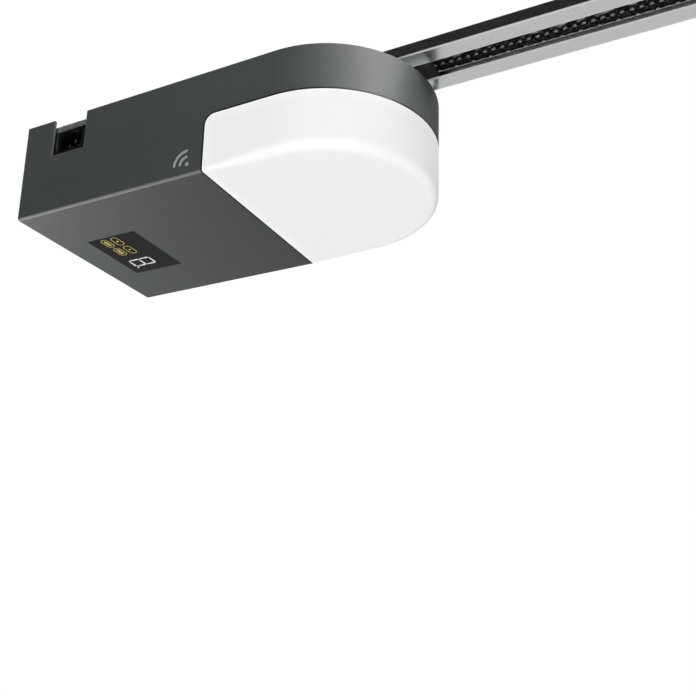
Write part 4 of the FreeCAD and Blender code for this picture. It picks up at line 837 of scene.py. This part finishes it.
bmesh.ops.rotate(waves, verts=waves.verts[:], cent=(0, 0, 0), matrix=Matrix.Rotation(lean, 3, "X"))
bmesh.ops.translate(waves, verts=waves.verts[:], vec=(sign_x, side + GAP, sign_z))
piece("radio_sign", waves, "grey_print", "root")

# %% [markdown]
# ## The studio
# The floor is pale and far below, as a garage floor is under a ceiling drive. It also works as
# the lowest lamp: it throws the light from above back up at the undersides, which are what one
# sees of a thing on a ceiling.

# %% The floor
FLOOR_Z = -2.35
ground = bmesh.new()
bmesh.ops.create_grid(ground, x_segments=8, y_segments=8, size=30)
bmesh.ops.translate(ground, verts=ground.verts[:], vec=(0, 0, FLOOR_Z))
ground_mesh = bpy.data.meshes.new("floor")
ground.to_mesh(ground_mesh)
ground.free()
floor = bpy.data.objects.new("floor", ground_mesh)
bpy.context.scene.collection.objects.link(floor)
screed = Finish("floor_screed")
screed.surface(screed.tones(screed.mottle(0.4, 4.0), (0.80, 0.80, 0.79), 0.02), 0.85)
ground_mesh.materials.append(screed.material)
print("the floor is", -FLOOR_Z, "m below the ceiling")

# %% [markdown]
# The sky is white overhead and dark from the floor to well above the horizon, and in front of
# the head it is dark nearly all the way up. Bare metal is drawn by what it mirrors, and what the
# rail's side mirrors has to be dark for the rail to look like metal. The camera sees plain white.

# %% The sky
world = bpy.data.worlds.new("studio")
world.use_nodes = True
bpy.context.scene.world = world
sky = Tree(world.node_tree)
direction = sky.make("ShaderNodeTexCoord", {}, {}, output="Generated")
height = sky.make("ShaderNodeSeparateXYZ", {}, {0: direction}, output="Z")
backwards = sky.make("ShaderNodeSeparateXYZ", {}, {0: direction}, output="Y")
in_front = sky.between(backwards, -0.5, -0.1, 0.6, 0.0)
glow = sky.between(height - in_front, 0.42, 0.72, 0.02, 1.7)
seen = sky.make("ShaderNodeLightPath", {}, {}, output="Is Camera Ray")
strength = seen + (1 - seen) * glow
background = next(n for n in world.node_tree.nodes if n.type == "BACKGROUND")
sky.feed(background.inputs["Color"], (1, 1, 1))
sky.feed(background.inputs["Strength"], strength)
print("the sky is", len(world.node_tree.nodes), "nodes")

# %% [markdown]
# Soft boxes add shape. One lights everything a little from low in front. Each of the others
# shines only on the parts that need it, by light linking. Two above the rail round the curved
# wall of the nose. A small one behind lets the underside fade from back to front, and a long one
# on the floor draws the lower edge of the cover. Two keep the lens white, one shows the pins in
# the inlet and the plate above it, and one reaches into the slot of the rail.


# %% Soft boxes
def soft_box(name, place, target, width, height, radiance, only_on=()):
    """A rectangle of light aimed at a point. Power is radiance times area times pi."""
    data = bpy.data.lights.new(name, "AREA")
    data.shape, data.size, data.size_y = "RECTANGLE", width, height
    data.energy = radiance * width * height * math.pi
    lamp = bpy.data.objects.new(name, data)
    lamp.visible_camera = False
    lamp.location = place
    lamp.rotation_mode = "QUATERNION"
    lamp.rotation_quaternion = (Vector(target) - Vector(place)).to_track_quat("-Z", "Y")
    bpy.context.scene.collection.objects.link(lamp)
    if only_on:
        lit = bpy.data.collections.new(f"{name}_shines_on")
        for thing in only_on:
            lit.objects.link(bpy.data.objects[thing])
        lamp.light_linking.receiver_collection = lit
    print(name, "is", width, "by", height, "m and gives", round(data.energy, 1), "W")


RAILS = [f"rail_section_{n}" for n in (1, 2, 3)]
soft_box("low_front", (0.3, -2.2, -1.5), (0, 0, -0.1), 2.6, 1.0, 2.0)
soft_box("nose_front", (1.15, -0.75, 1.0), (0.05, 0, -0.1), 1.3, 1.3, 15.0, ["housing_cover"])
soft_box("nose_side", (1.6, -0.2, 1.0), (0.05, 0, -0.1), 1.2, 1.2, 17.0, ["housing_cover"])
soft_box("under_back", (-0.42, 0.0, -0.45), (-0.22, 0, -0.15), 0.35, 0.4, 8.0, ["housing_cover"])
soft_box("floor_strip", (-0.7, -1.9, -2.3), (-0.7, -1.6, 0), 4.4, 0.9, 4.5, ["housing_cover"])
soft_box("lens_front", (1.3, -2.1, -0.3), (0.05, 0, -0.12), 2.4, 1.6, 2.4, ["lamp_lens"])
soft_box("lens_below", (0.1, 0.3, -2.1), (0.05, 0, -0.15), 2.0, 2.0, 0.2, ["lamp_lens"])
soft_box("inlet_light", (-0.7, -1.1, -0.6), (-0.168, -0.1, -0.075), 0.9, 0.9, 6.0,
         ["inlet_pins", "chassis_plate"])
soft_box("slot_light", (1.4, -2.0, -1.9), (0.9, 0, -0.03), 3.0, 0.8, 3.0, [*RAILS, "chain_links"])
